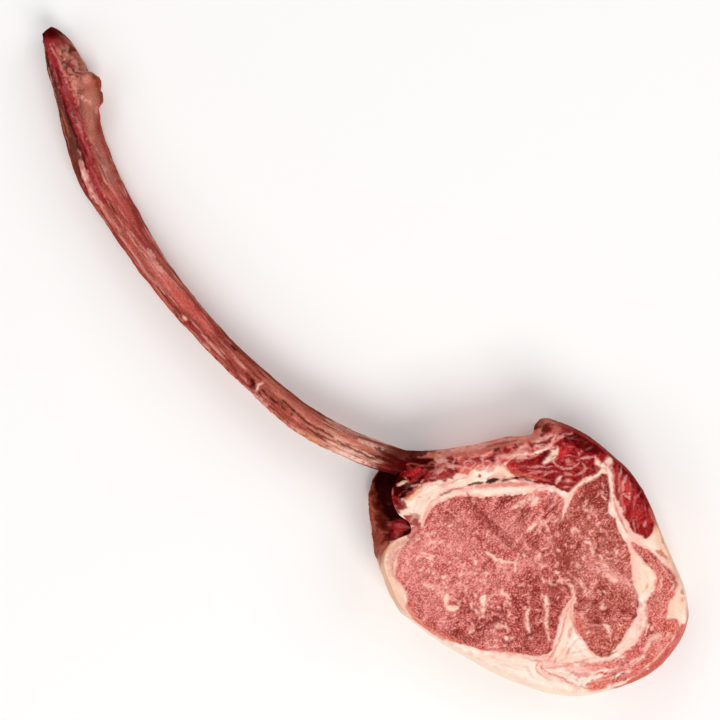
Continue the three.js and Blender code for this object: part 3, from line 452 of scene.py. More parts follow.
# Strokes on the walls, where they show past the rim, placed as seen from the camera. The near-black and
# maroon strokes under the ledge and by the rib are painted shade, and the scarlet and rose ones on the facet
# below the notch are painted highlights.
WALL_STROKES = [
    ("umber", 13, 0.45, 0, (66, -40), (76, -48), (88, -58)),
    ("membrane", 1.8, 0.6, 0, (65, -38.4), (71, -43.6), (77, -48)),
    ("rust", 2.6, 0.6, 0, (85, -45), (86, -51), (89.6, -56.6)),
    ("tan", 4, 0.5, 0, (78, -44), (82, -50), (87, -56)),
    ("tan", 3, 0.5, 0, (62, -36.5), (67, -42), (73, -47)),
    ("tan", 2, 0.35, 0, (74, -46), (82, -53), (88, -59)),
    # painted shade: maroon and near-black under the ledge
    ("maroon", 5, 0.7, 0, (66, -34.6), (73, -38), (79, -43)),
    ("void", 7, 1, 0, (58.5, -19), (59.5, -26), (62, -31)),
    ("void", 6, 1, 0, (62, -30), (68, -33), (76, -35), (84, -33.4), (90, -31)),
    ("void", 4, 1, 0, (72, -34), (78, -37.6)),
    ("crimson", 7.4, 1, 0, (87, -33.6), (83.6, -37.6), (84.6, -43)),
    ("crimson", 4, 0.9, 0, (80.4, -36.6), (85, -41.6)),
    # painted highlights: scarlet and rose where the red facet below the notch is lit
    ("scarlet", 4, 0.6, 0, (81.6, -38), (85, -36), (86, -41)),
    ("rose", 1.8, 0.8, 0, (81.4, -38), (84.6, -35.6), (88.6, -33)),
    ("rose", 1.6, 0.6, 0, (84.8, -38.4), (87, -42.4)),
    ("maroon", 2, 0.7, 0, (79, -38.6), (83, -43), (86, -47)),
    ("suet", 3, 1, 0, (88.6, -41), (87.6, -46), (89, -52), (93, -57)),
    ("gold", 1.4, 0.7, 0, (86.8, -44), (87, -49), (89.6, -55), (94, -59)),
    # painted shade: maroon where the wall meets the rib
    ("maroon", 6, 0.9, 0, (56, -10), (61, -5), (66, 0)),
    ("umber", 6, 1, 0, (97, 49), (97.6, 54.6), (101, 59)),
    ("membrane", 3, 0.6, 0, (103, 60), (108, 61.4), (113, 64)),
    ("pink", 4, 0.5, 0, (75, 11), (80, 18), (86, 27)),
    ("umber", 2.4, 0.6, 0, (66.6, 1), (71, 6.4), (75, 12)),
    ("pink", 2.4, 0.6, 0, (69.6, 5), (76, 13.6), (82, 23)),
    ("pink", 1.4, 0.45, 0, (88, 30), (93, 37), (98, 43)),
    ("umber", 1.4, 0.6, 0, (86, 25), (90, 31), (95, 38.4)),
    ("umber", 2, 0.6, 0, (82, 25), (84.6, 27.6)),
    ("umber", 2, 0.5, 0, (89, 34), (92, 38)),
]
RIB_STROKES = [
    ("maroon", 8, 0.95, 0, (-237, 13.4), (-233.6, 17), (-229.4, 21)),
    ("wine", 7, 0.6, 0, (-231, 13), (-227, 16), (-224, 18)),
    ("crimson", 2.4, 0.7, 0, (-230, 14), (-220, 9.6), (-210, 5)),
    ("tan", 2.4, 0.5, 0, (-222, 3.4), (-210, -4), (-198, -10), (-186, -16)),
    ("membrane", 1.4, 0.6, -0.3, (-218, 0.6), (-208, -5), (-200, -9)),
    ("membrane", 1.2, 0.5, -0.3, (-190, -14.6), (-182, -18), (-174, -22)),
    ("maroon", 1.4, 0.6, 0.4, (-172, -23.4), (-166, -26), (-160, -28.4)),
    ("maroon", 2, 0.7, 0.3, (-206, -1.6), (-196, -4), (-186, -8), (-180, -10)),
    ("umber", 3, 0.6, 0, (-230, 20), (-216, 19), (-207, 16.6)),
    ("rose", 3, 0.5, 0, (-228, 14), (-214, 7.4), (-200, 0.6), (-186, -6.4), (-172, -12.6)),
    ("wine", 6.4, 0.85, 0.3, (-234, 14.6), (-222, 8.8), (-212, 4.6), (-200, -2), (-188, -8), (-176, -13.6),
        (-162, -20.6), (-147, -26.6)),
    ("pink", 1.2, 0.45, -0.3, (-228, 12.6), (-216, 8.4), (-204, 3)),
    ("pink", 1.6, 0.4, -0.2, (-196, -4), (-188, -7), (-181, -9.6)),
    # the rib's shaded side near its thin end: this band, the groove and the umber below it are painted shade
    # over the dried skin
    ("bark", 5.4, 0.85, 0.3, (-226, 5.6), (-212, -2.6), (-200, -8), (-188, -13.6), (-176, -19.6),
        (-168, -24)),
    ("maroon", 2.2, 0.7, 0.5, (-226, 7.6), (-216, 2.4), (-207, -2)),
    ("void", 2, 0.75, 0.7, (-207, -1.6), (-197, -6), (-186, -11.4), (-176, -16), (-167, -20.6)),
    ("umber", 1.6, 0.6, 0, (-207, -6.6), (-197, -11), (-187, -16)),
    ("maroon", 1.1, 0.5, 0, (-217, -0.4), (-207, -4.6)),
    ("membrane", 1, 0.45, 0, (-200, -8), (-192, -11.6), (-185, -15)),
    ("pink", 0.9, 0.45, -0.2, (-219, 2.4), (-212, -2), (-205, -6)),
    ("husk", 0.9, 0.4, -0.2, (-196, -11.6), (-188, -16), (-181, -20)),
    ("maroon", 1.8, 0.6, 0.3, (-216, 5.6), (-207, 1.2)),
    ("maroon", 1.6, 0.6, 0.3, (-197, -3.2), (-188, -6.8)),
    ("maroon", 1.8, 0.6, 0.3, (-181, -12), (-171, -15.6)),
    ("rose", 1.3, 0.5, -0.2, (-186, -8.2), (-177, -12), (-168, -15.4)),
    ("rose", 1.2, 0.45, -0.2, (-166, -18.4), (-157, -22), (-149, -24.6)),
    ("crimson", 1.4, 0.8, 0.5, (-221, 15.8), (-217, 14)),
    ("crimson", 2, 0.85, 0.7, (-216, 14.2), (-210.6, 11.4)),
    ("maroon", 1.6, 0.6, 0.5, (-206, 14), (-203.6, 11)),
    ("umber", 2.2, 0.4, 0.2, (-213, 17), (-207, 13.4)),
    ("membrane", 5, 0.6, 0, (-203, 13), (-197, 12.6), (-191, 9.4)),
    ("rust", 2.6, 0.8, -0.5, (-201.6, 17), (-196, 17.4), (-190.6, 15.6), (-188, 12)),
    ("crimson", 2, 0.5, 0.2, (-197, 15), (-193.6, 14.2)),
    ("pink", 2, 0.85, -0.9, (-200, 2.4), (-196, 4), (-190, 5), (-184.6, 4.6), (-182, 2)),
    # painted highlight on the flap's crest
    ("blush", 3, 0.6, 0, (-190.6, 9.6), (-187, 6.8), (-183.6, 4)),
    ("umber", 1, 0.5, 0.4, (-203, 0), (-190, -2.6), (-180, -6)),
    ("pink", 1, 0.35, -0.2, (-178, -8), (-168, -11), (-158, -15)),
    ("umber", 1, 0.4, 0.3, (-172, -13), (-160, -18), (-150, -21)),
    ("pink", 4.2, 0.5, -0.2, (-172, -20.6), (-163, -24.6), (-154, -28), (-147, -29)),
    ("pink", 2.4, 0.4, -0.2, (-147, -29.6), (-138, -30.8), (-128, -32)),
    ("marble", 1.4, 0.6, -0.2, (-168, -23), (-162, -26)),
    ("marble", 1.2, 0.5, -0.2, (-158, -27), (-152, -29)),
    ("crimson", 1.6, 0.5, 0.3, (-160, -24.6), (-150, -27.4)),
    ("wine", 1.2, 0.6, 0.4, (-168, -20.6), (-156, -25), (-146, -28)),
    ("crimson", 2.6, 0.85, 0, (-162, -29.6), (-155, -31.4)),
    ("rust", 1.6, 0.6, 0, (-152, -32.2), (-143, -33.6)),
    ("blush", 5, 0.35, 0, (-152, -15.4), (-140, -20), (-130, -23)),
    ("crimson", 6, 0.4, 0, (-126, -25), (-118, -26.6), (-112, -26.8)),
    ("pink", 3.2, 0.5, -0.2, (-113, -28), (-106, -30), (-98, -31.6)),
    ("blush", 4, 0.35, 0, (-128, -31), (-116, -34.4)),
    ("umber", 1, 0.4, 0.3, (-126, -28.6), (-112, -31.6), (-100, -33.6)),
    # paler band along the middle of the rib's top, partly painted highlight
    ("blush", 5, 0.5, -0.2, (-98, -32), (-84, -33.6), (-70, -34), (-58, -34)),
    ("rust", 2.6, 0.5, -0.3, (-122, -37.6), (-100, -40.6), (-80, -42)),
    ("crimson", 1.2, 0.6, 0.2, (-128, -35), (-112, -38.6), (-98, -40)),
    ("umber", 1, 0.65, 0.6, (-96, -38.6), (-84, -40), (-72, -40.2), (-56, -38.4), (-43, -39), (-33, -41)),
    ("crimson", 1.8, 0.7, 0, (-75, -41.4), (-71, -41.8)),
    ("marble", 1.4, 0.7, -0.2, (-75, -40), (-72.4, -39.8)),
    ("pink", 1.4, 0.5, -0.4, (-58, -42.6), (-52, -42.4)),
    ("maroon", 1.2, 0.9, 0.6, (-46, -32.6), (-42, -32.2)),
    ("umber", 4.4, 0.75, 0.5, (-29, -37.4), (-25, -39), (-21, -40.4)),
    # painted shade: near-black in the notch
    ("void", 1.5, 0.75, 1, (-25.4, -37.4), (-22.6, -38.8), (-23.4, -41)),
    ("marble", 1.2, 0.75, -0.6, (-19.8, -34.4), (-20.2, -37.4), (-19, -40.4)),
    ("maroon", 1.3, 0.8, 0.6, (-17.6, -38), (-13.6, -38)),
    ("maroon", 1.4, 0.8, 0.6, (-12, -37.7), (-6, -37.2)),
    ("maroon", 1.1, 0.7, 0.5, (-4, -36.5), (-1, -36)),
    ("maroon", 1.1, 0.7, 0.5, (1.6, -36), (3.8, -35.6)),
    # the middle crevices: umber that is partly painted shade in the grooves, with painted highlights in husk
    # along their edges
    ("umber", 1.4, 0.95, 0.7, (-6, -33.6), (3, -33.4), (12, -33), (20, -30.6), (27, -28.4)),
    ("husk", 1.2, 0.6, -0.3, (-6, -32.2), (4, -31.8), (13, -31.2), (21, -28.8)),
    ("husk", 1.4, 0.6, -0.3, (12, -34.4), (22, -31.6), (30, -29.4)),
    ("umber", 0.9, 0.6, 0.4, (7, -35.2), (15, -34.6), (22, -32.8), (29, -30), (37, -27.6)),
    ("umber", 1.3, 0.85, 0.6, (30, -28.6), (38, -26), (47, -22.8), (54, -19)),
    ("umber", 1, 0.4, 0.3, (-16, -31.6), (-3, -29.6), (8, -28)),
    ("blush", 1.8, 0.5, -0.3, (0, -31.6), (12, -30.6), (22, -27.6)),
    ("blush", 2, 0.5, -0.3, (24, -26), (36, -22.4), (46, -19)),
    ("pink", 4, 0.7, -0.9, (-18.6, -42), (-12, -43), (-6, -42.6)),
    ("rust", 2.6, 0.7, 0, (-5, -41.4), (-1, -42)),
    ("gold", 3.6, 0.75, -0.9, (5, -41.6), (12, -40), (20, -37.8), (29, -34.8)),
    ("marble", 1.6, 0.6, -0.3, (8, -40.6), (15, -39)),
    ("marble", 4, 0.8, -0.4, (30, -34.6), (38, -32), (46, -28.6), (55, -25)),
    ("umber", 1.4, 0.5, 0.2, (14, -27), (26, -22.6), (40, -17), (52, -11.6)),
    # painted highlights on the ridges near the meat
    ("marble", 1.5, 0.5, -0.2, (37, -20.8), (44, -17.6), (50, -15.2)),
    ("husk", 1.4, 0.6, -0.2, (33, -18.2), (41, -15)),
    ("pink", 2, 0.5, 0, (18, -25), (28, -21.6), (36, -19)),
    ("membrane", 6, 0.45, 0, (-20, -33), (0, -30), (16, -27)),
    ("crimson", 3.4, 0.6, 0, (55, -22.6), (60, -20)),
    ("maroon", 13, 0.9, 0, (63, -13), (73, -8)),
    ("maroon", 2.2, 0.8, 0.2, (46, -17.4), (54, -14.6), (62, -12)),
    ("umber", 2, 0.7, 0.2, (45, -12.8), (54, -10), (62, -8)),
    ("maroon", 2, 0.8, 0.2, (49, -20.2), (56, -17), (62, -15)),
]

RIB_CLOUDS = [
    ("maroon", 0.95, (-235, 15.6), 7.5, 7, 40), ("umber", 0.5, (-218, 17), 14, 3, -20),
    ("husk", 0.35, (-212, 10), 12, 3, -28), ("husk", 0.5, (-192, 7), 9, 4, -25),
    ("husk", 0.4, (-184, -3), 14, 3.4, -32), ("pink", 0.3, (-160, -12), 16, 2.6, -26),
    ("umber", 0.6, (-205, -8), 26, 3, -29), ("umber", 0.5, (-172, -26), 12, 3, -25),
    ("blush", 0.4, (-140, -22), 16, 3, -16), ("crimson", 0.4, (-119, -25.6), 9, 3, -12),
    # the blush patch at -80 is partly painted highlight along the middle of the top
    ("pink", 0.2, (-106, -31), 12, 3, -12), ("blush", 0.4, (-80, -33.4), 24, 4, -3),
    ("umber", 0.3, (-80, -30.4), 40, 1.4, -5), ("umber", 0.35, (-45, -33), 16, 3, 0),
    ("umber", 0.3, (-10, -29.6), 20, 2, 8),
    ("husk", 0.35, (0, -32), 20, 3, 6), ("husk", 0.5, (40, -20), 18, 4, 27),
    ("umber", 0.5, (20, -24), 26, 1.4, 17), ("umber", 0.45, (46, -13), 12, 1.6, 26),
    ("maroon", 0.6, (58, -12), 6, 8, 30),
]

# The middle line of the rib: x, y, z, half width seen from above, half height and lean.
RIB_LINE = [
    (-236.5, 15.6, 15.5, 2.6, 5, -0.2), (-233, 15.4, 14.8, 4.6, 9, -0.3),
    (-226, 14, 14, 6.2, 12, -0.35), (-216, 9.4, 13.6, 8.8, 13.2, -0.4),
    (-203, 3.2, 13.6, 9.8, 13.4, -0.4), (-184, -9, 13.6, 8.8, 13.4, -0.35),
    (-162, -19.6, 13.8, 9.7, 13.6, -0.3), (-140, -25.2, 14.8, 8.5, 13.8, -0.2),
    (-110, -31.5, 16.4, 7.4, 13.8, -0.1), (-80, -35.8, 18.2, 6.8, 13.6, 0),
    (-50, -37.6, 20, 6.1, 13.4, 0), (-22, -37, 21.4, 6.4, 13.4, 0),
    (4, -34.8, 22.6, 7, 13.6, 0.05), (30, -28.2, 23.6, 7.2, 13.8, 0.05),
    (56, -16.8, 24, 7.2, 13.8, 0.05), (76, -5.5, 24, 6.6, 13.2, 0.05),
]

# ---- Sizes and colours a user would change -----------------------------------------


def size_mm(name, description, millimetres):
    """A property for one length. It is given in millimetres and kept in metres."""
    return FloatProperty(
        name=name, description=description, default=millimetres * MM, unit="LENGTH", precision=4
    )


def tint(name, description, *rgb):
    """A property for one colour, given as a screen shows it."""
    return FloatVectorProperty(
        name=name, description=description, size=3, subtype="COLOR", min=0, max=1, default=srgb(*rgb)
    )


class SteakSizes(bpy.types.PropertyGroup):
    """Sizes of the steak, and how finely its surfaces are sampled."""

    thickness: size_mm("Thickness", "Height of the cut face over the floor", 47.0)
    rim_drop: size_mm("Rim drop", "How far the cut face falls at its rim", 2.6)
    rim_band: size_mm("Rim band", "Width of the band in which it falls", 5.0)
    wave: size_mm("Waves", "Height of the long waves left by the knife", 0.7)
    cuff_drop: size_mm("Cuff drop", "How far the face sinks where the rib comes out", 8.0)
    foot_tuck: size_mm("Foot tuck", "How far the foot of the wall is drawn in", 3.0)
    fat_proud: size_mm("Fat relief", "How far firm fat stands over the cut muscle", 0.35)
    grid: size_mm("Grid", "Spacing of the points on the cut faces", 0.5)
    rib_step: size_mm("Rib step", "Spacing of the rings along the rib", 0.5)
    rib_sides: IntProperty(name="Rib sides", description="Points round the rib", default=112, min=12)


class SteakColours(bpy.types.PropertyGroup):
    """Colours of the flesh, the fat and the rib."""

    lean: tint("Lean", "Cut lean of the eye", 196, 86, 82)
    tan: tint("Browner lean", "Cut lean of the side muscle", 182, 84, 68)
    # dusky: darker lean, and also painted shade in the gaps between fibre bundles, along creases and beside
    # folds
    dusky: tint("Dusky lean", "Dark gaps between the bundles of lean", 134, 40, 36)
    fleck: tint("Fleck", "Pale flecks in the lean", 249, 170, 160)
    blush: tint("Blush", "Rosy meat of the cap", 210, 92, 82)
    rose: tint("Rose", "Lighter streaks in the dark red meat", 208, 92, 92)
    crimson: tint("Crimson", "Wet dark red meat", 150, 20, 27)
    # scarlet: bright red of the wet dark meat, partly painted sheen where it catches the light
    scarlet: tint("Scarlet", "Fresh wet patches in the dark red meat", 206, 26, 34)
    maroon: tint("Maroon", "Meat in the shade and clotted blood", 74, 3, 5)
    wine: tint("Wine", "Red stripe along the rib", 150, 34, 44)
    # void: painted shade, near-black at the bottoms of cracks and grooves and in the cavities under ledges
    void: tint("Void", "Bottoms of cracks", 44, 4, 3)
    rust: tint("Rust", "Orange-red margins", 214, 92, 72)
    pink: tint("Pink", "Thin fat and its margins", 242, 170, 159)
    cream: tint("Cream", "Firm fat", 255, 239, 223)
    marble: tint("Marbling", "Thin streaks of fat in the lean", 254, 224, 203)
    suet: tint("Suet", "Fat with an orange tinge", 252, 208, 178)
    gold: tint("Golden fat", "The yellow scrap on the rib", 232, 160, 112)
    membrane: tint("Membrane", "Dried grey-pink skin", 200, 104, 84)
    umber: tint("Umber", "Dried brown skin", 112, 38, 24)
    bone: tint("Rib", "The rib's scraped surface", 154, 68, 56)
    # bark: the dried band along the thin end of the rib, darkened as painted shade on its shaded side
    bark: tint("Dried band", "The grey-brown band along the rib's thin end", 100, 54, 44)
    husk: tint("Rib near the meat", "The paler rib where it nears the meat", 216, 148, 124)
    floor: tint("Floor", "The pale floor", 250, 249, 248)


# ---- Numbers over the plan ---------------------------------------------------------


def smooth(low, high, value):
    """0 below low, 1 above high, and an S-curve between."""
    t = np.clip((value - low) / (high - low), 0, 1)
    return t * t * (3 - 2 * t)


def noise(x, y, spacing, seed):
    """Random heights from -1 to 1 on a square lattice with that spacing, blended by an S-curve."""
    table = np.random.default_rng(seed).uniform(-1, 1, (256, 256))
    u, v = x / spacing + 37.2, y / spacing + 91.7
    i, j = np.floor(u).astype(int), np.floor(v).astype(int)
    fu, fv = smooth(0, 1, u - i), smooth(0, 1, v - j)
    i0, i1, j0, j1 = i & 255, (i + 1) & 255, j & 255, (j + 1) & 255
    low = table[i0, j0] * (1 - fu) + table[i1, j0] * fu
    high = table[i0, j1] * (1 - fu) + table[i1, j1] * fu
    return low * (1 - fv) + high * fv


def rough(x, y, spacing, seed, layers=3):
    """Layers of noise, each at half the spacing and 0.55 of the height of the one before."""
    total = sum(0.55**k * noise(x, y, spacing / 2**k, seed + k) for k in range(layers))
    return total / sum(0.55**k for k in range(layers))


def smooth_curve(points, count, closed=True):
    """Centripetal Catmull-Rom curve: cubics whose slopes at each point lean on its neighbours,
    weighted by the square root of their distances. count points, evenly spaced by station."""
    p = np.asarray(points, float)
    n = len(p)
    if closed:
        place = np.arange(count) / count * n
        p = np.vstack([p[-1:], p, p[:2]])
    else:
        place = np.linspace(0, n - 1, count)
        p = np.vstack([2 * p[:1] - p[1:2], p, 2 * p[-1:] - p[-2:-1]])
    i = np.minimum(place.astype(int), len(p) - 4)
    t = (place - i)[:, None]
    p0, p1, p2, p3 = p[i], p[i + 1], p[i + 2], p[i + 3]
    steps = (p1 - p0, p2 - p1, p3 - p2)
    d0, d1, d2 = (np.linalg.norm(step, axis=1, keepdims=True) ** 0.5 for step in steps)
    m1 = ((p1 - p0) / d0 - (p2 - p0) / (d0 + d1) + (p2 - p1) / d1) * d1
    m2 = ((p2 - p1) / d1 - (p3 - p1) / (d1 + d2) + (p3 - p2) / d2) * d1
    return p1 + m1 * t + (3 * (p2 - p1) - 2 * m1 - m2) * t**2 + (2 * (p1 - p2) + m1 + m2) * t**3


def outwards(ring):
    """Unit vectors out of a counter-clockwise ring, square to the line between the neighbours."""
    along = np.roll(ring, -1, axis=0) - np.roll(ring, 1, axis=0)
    out = np.column_stack([along[:, 1], -along[:, 0]])
    return out / np.linalg.norm(out, axis=1, keepdims=True)


MUSCLE_INSET = 0.8  # the least fat left between a muscle and the rim
REACH = 14.0  # distances to an outline are only worked out this near to it
MASK_SIZE = 4_000_000  # the most pairs of places and outline points in one go


def depth_inside(x, y, ring):
    """Distance to a closed ring, positive inside it, and the place on it of the nearest point."""
    shape = x.shape
    x, y = x.ravel(), y.ravel()
    near = (x > ring[:, 0].min() - REACH) & (x < ring[:, 0].max() + REACH)
    near &= (y > ring[:, 1].min() - REACH) & (y < ring[:, 1].max() + REACH)
    depth = np.full(x.shape, -REACH)
    place = np.zeros(x.shape)
    a = ring.astype(np.float32)
    step = np.roll(a, -1, axis=0) - a
    length = (step**2).sum(axis=1) + 1e-9
    for part in np.array_split(np.flatnonzero(near), max(1, near.sum() * len(a) // MASK_SIZE)):
        px, py = x[part, None].astype(np.float32), y[part, None].astype(np.float32)
        rx, ry = px - a[:, 0], py - a[:, 1]
        t = np.clip((rx * step[:, 0] + ry * step[:, 1]) / length, 0, 1)
        square = (rx - t * step[:, 0]) ** 2 + (ry - t * step[:, 1]) ** 2
        best = square.argmin(axis=1)
        row = np.arange(len(part))
        below = (a[:, 1] > py) != (np.roll(a[:, 1], -1) > py)
        crossing = rx < step[:, 0] * ry / np.where(step[:, 1] == 0, 1e-9, step[:, 1])
        odd = (below & crossing).sum(axis=1) % 2 == 1
        depth[part] = np.sqrt(square[row, best]) * np.where(odd, 1, -1)
        place[part] = (best + t[row, best]) / len(a)
    return depth.reshape(shape), place.reshape(shape)


def stroke_mask(x, y, width, points, seed):
    """How far each place lies under a stroke: 1 within half the width of the line through the
    points, tapering to its ends, with an uneven edge. Also a wider, softer halo round it."""
    line = np.asarray(points, float)
    low, high = line.min(axis=0) - 2 * width - 1, line.max(axis=0) + 2 * width + 1
    part = np.flatnonzero((x > low[0]) & (x < high[0]) & (y > low[1]) & (y < high[1]))
    px, py = x[part], y[part]
    wobble = np.column_stack([rough(px, py, 2.2, 500 + seed), rough(px, py, 2.2, 700 + seed)])
    at = np.column_stack([px, py]) + 0.7 * wobble
    best = np.full(len(part), np.inf)
    along = np.zeros(len(part))
    for k in range(len(line) - 1):
        step = line[k + 1] - line[k]
        t = np.clip(((at - line[k]) @ step) / (step @ step), 0, 1)
        distance = np.linalg.norm(at - line[k] - t[:, None] * step, axis=1)
        along = np.where(distance < best, (k + t) / (len(line) - 1), along)
        best = np.minimum(best, distance)
    taper = 1 - 0.6 * np.abs(2 * along - 1) ** 2.5
    half = width / 2 * taper * (1 + 0.55 * rough(px, py, 1.8, 900 + seed, 2))
    core = np.zeros(x.shape)
    halo = np.zeros(x.shape)
    core[part] = smooth(-0.4, 0.4, half - best)
    halo[part] = smooth(-1.0, 0.2, 1.25 * half - best)
    return core, halo


STROKE_FAT = {"cream": 1.0, "marble": 0.9, "pink": 0.7, "suet": 1.0, "gold": 1.0}  # others 0.15
STROKE_WET = {"crimson": 0.9, "maroon": 0.9, "void": 0.2, "rust": 0.6}  # others as below them
BROKEN_STROKES = ("cream", "marble", "pink")  # these are patchy along their length


class Paint:
    """Colour, fat, wetness and relief over a set of places."""

    def __init__(self, x, y, ground, palette):
        self.x, self.y, self.palette = x, y, palette
        self.tone = np.tile(np.array(palette[ground]), (len(x), 1))
        self.fat = np.zeros(len(x))
        self.wet = np.full(len(x), 0.3)
        self.relief = np.zeros(len(x))

    def lay(self, mask, colour, fat=None, wet=None):
        """Covers the tone with a colour as far as the mask says."""
        self.tone += (np.array(self.palette[colour]) - self.tone) * mask[:, None]
        if fat is not None:
            self.fat += (fat - self.fat) * mask
        if wet is not None:
            self.wet += (wet - self.wet) * mask

    def clouds(self, table, where):
        """Soft oval patches that fade as a bell curve, with uneven borders."""
        x = self.x + 2.4 * rough(self.x, self.y, 8, 61)
        y = self.y + 2.4 * rough(self.x, self.y, 8, 67)
        for colour, strength, middle, length, width, turn in table:
            c, s = math.cos(math.radians(turn)), math.sin(math.radians(turn))
            u = (x - middle[0]) * c + (y - middle[1]) * s
            v = (y - middle[1]) * c - (x - middle[0]) * s
            self.lay(strength * where * np.exp(-((u / length) ** 2) - (v / width) ** 2), colour)

    def strokes(self, table, x=None, y=None, where=1.0):
        """Lays every stroke of a table, with its relief."""
        x = self.x if x is None else x
        y = self.y if y is None else y
        broken = smooth(-0.75, 0.05, rough(x, y, 1.5, 77, 2))
        for seed, (colour, width, strength, depth, *points) in enumerate(table):
            core, halo = stroke_mask(x, y, width, points, seed)
            if colour == "marble":
                self.lay(halo * where * strength * 0.5, "fleck", 0.5)
            uneven = broken if colour in BROKEN_STROKES else 1.0
            fat, wet = STROKE_FAT.get(colour, 0.15), STROKE_WET.get(colour)
            self.lay(core * where * strength * uneven, colour, fat, wet)
            self.relief -= depth * core * where


# ---- The slab: one warp from the cut face to the foot, and one set of maps ---------


RIM_POINTS = 1260  # points round the rim and round the waist
RIM_LENGTH = 560.0  # the wall's length round the waist, for its noise
OUTLINE_POINTS = 360  # points round each muscle
LONG_STROKE = 9  # width times points: the underside repeats only the strokes past this
MARBLING = {"eye_muscle": 170, "side_muscle": 44}  # how many random short streaks of fat
SNAP = 0.3  # points this near to a border, in steps of the grid, are moved onto it
WALL_GAP = 0.12  # how far a piece's hidden wall is drawn in from its border
RIM_REACH = 0.4  # a border point this near to the rim belongs to the outer wall
HIDDEN_RINGS = 6  # how many of its rings a wall keeps where it doesn't show


def border_of(tris):
    """The points on the edges that only one triangle has, and those edges as pairs of them."""
    edges = np.vstack([tris[:, [0, 1]], tris[:, [1, 2]], tris[:, [2, 0]]])
    key = np.sort(edges, axis=1)
    _, first, times = np.unique(key, axis=0, return_index=True, return_counts=True)
    loop, back = np.unique(edges[first[times == 1]], return_inverse=True)
    return loop, back.reshape(-1, 2)


def without_slivers(faces):
    """The triangles whose three corners differ."""
    a, b, c = faces.T
    return faces[(a != b) & (b != c) & (c != a)]


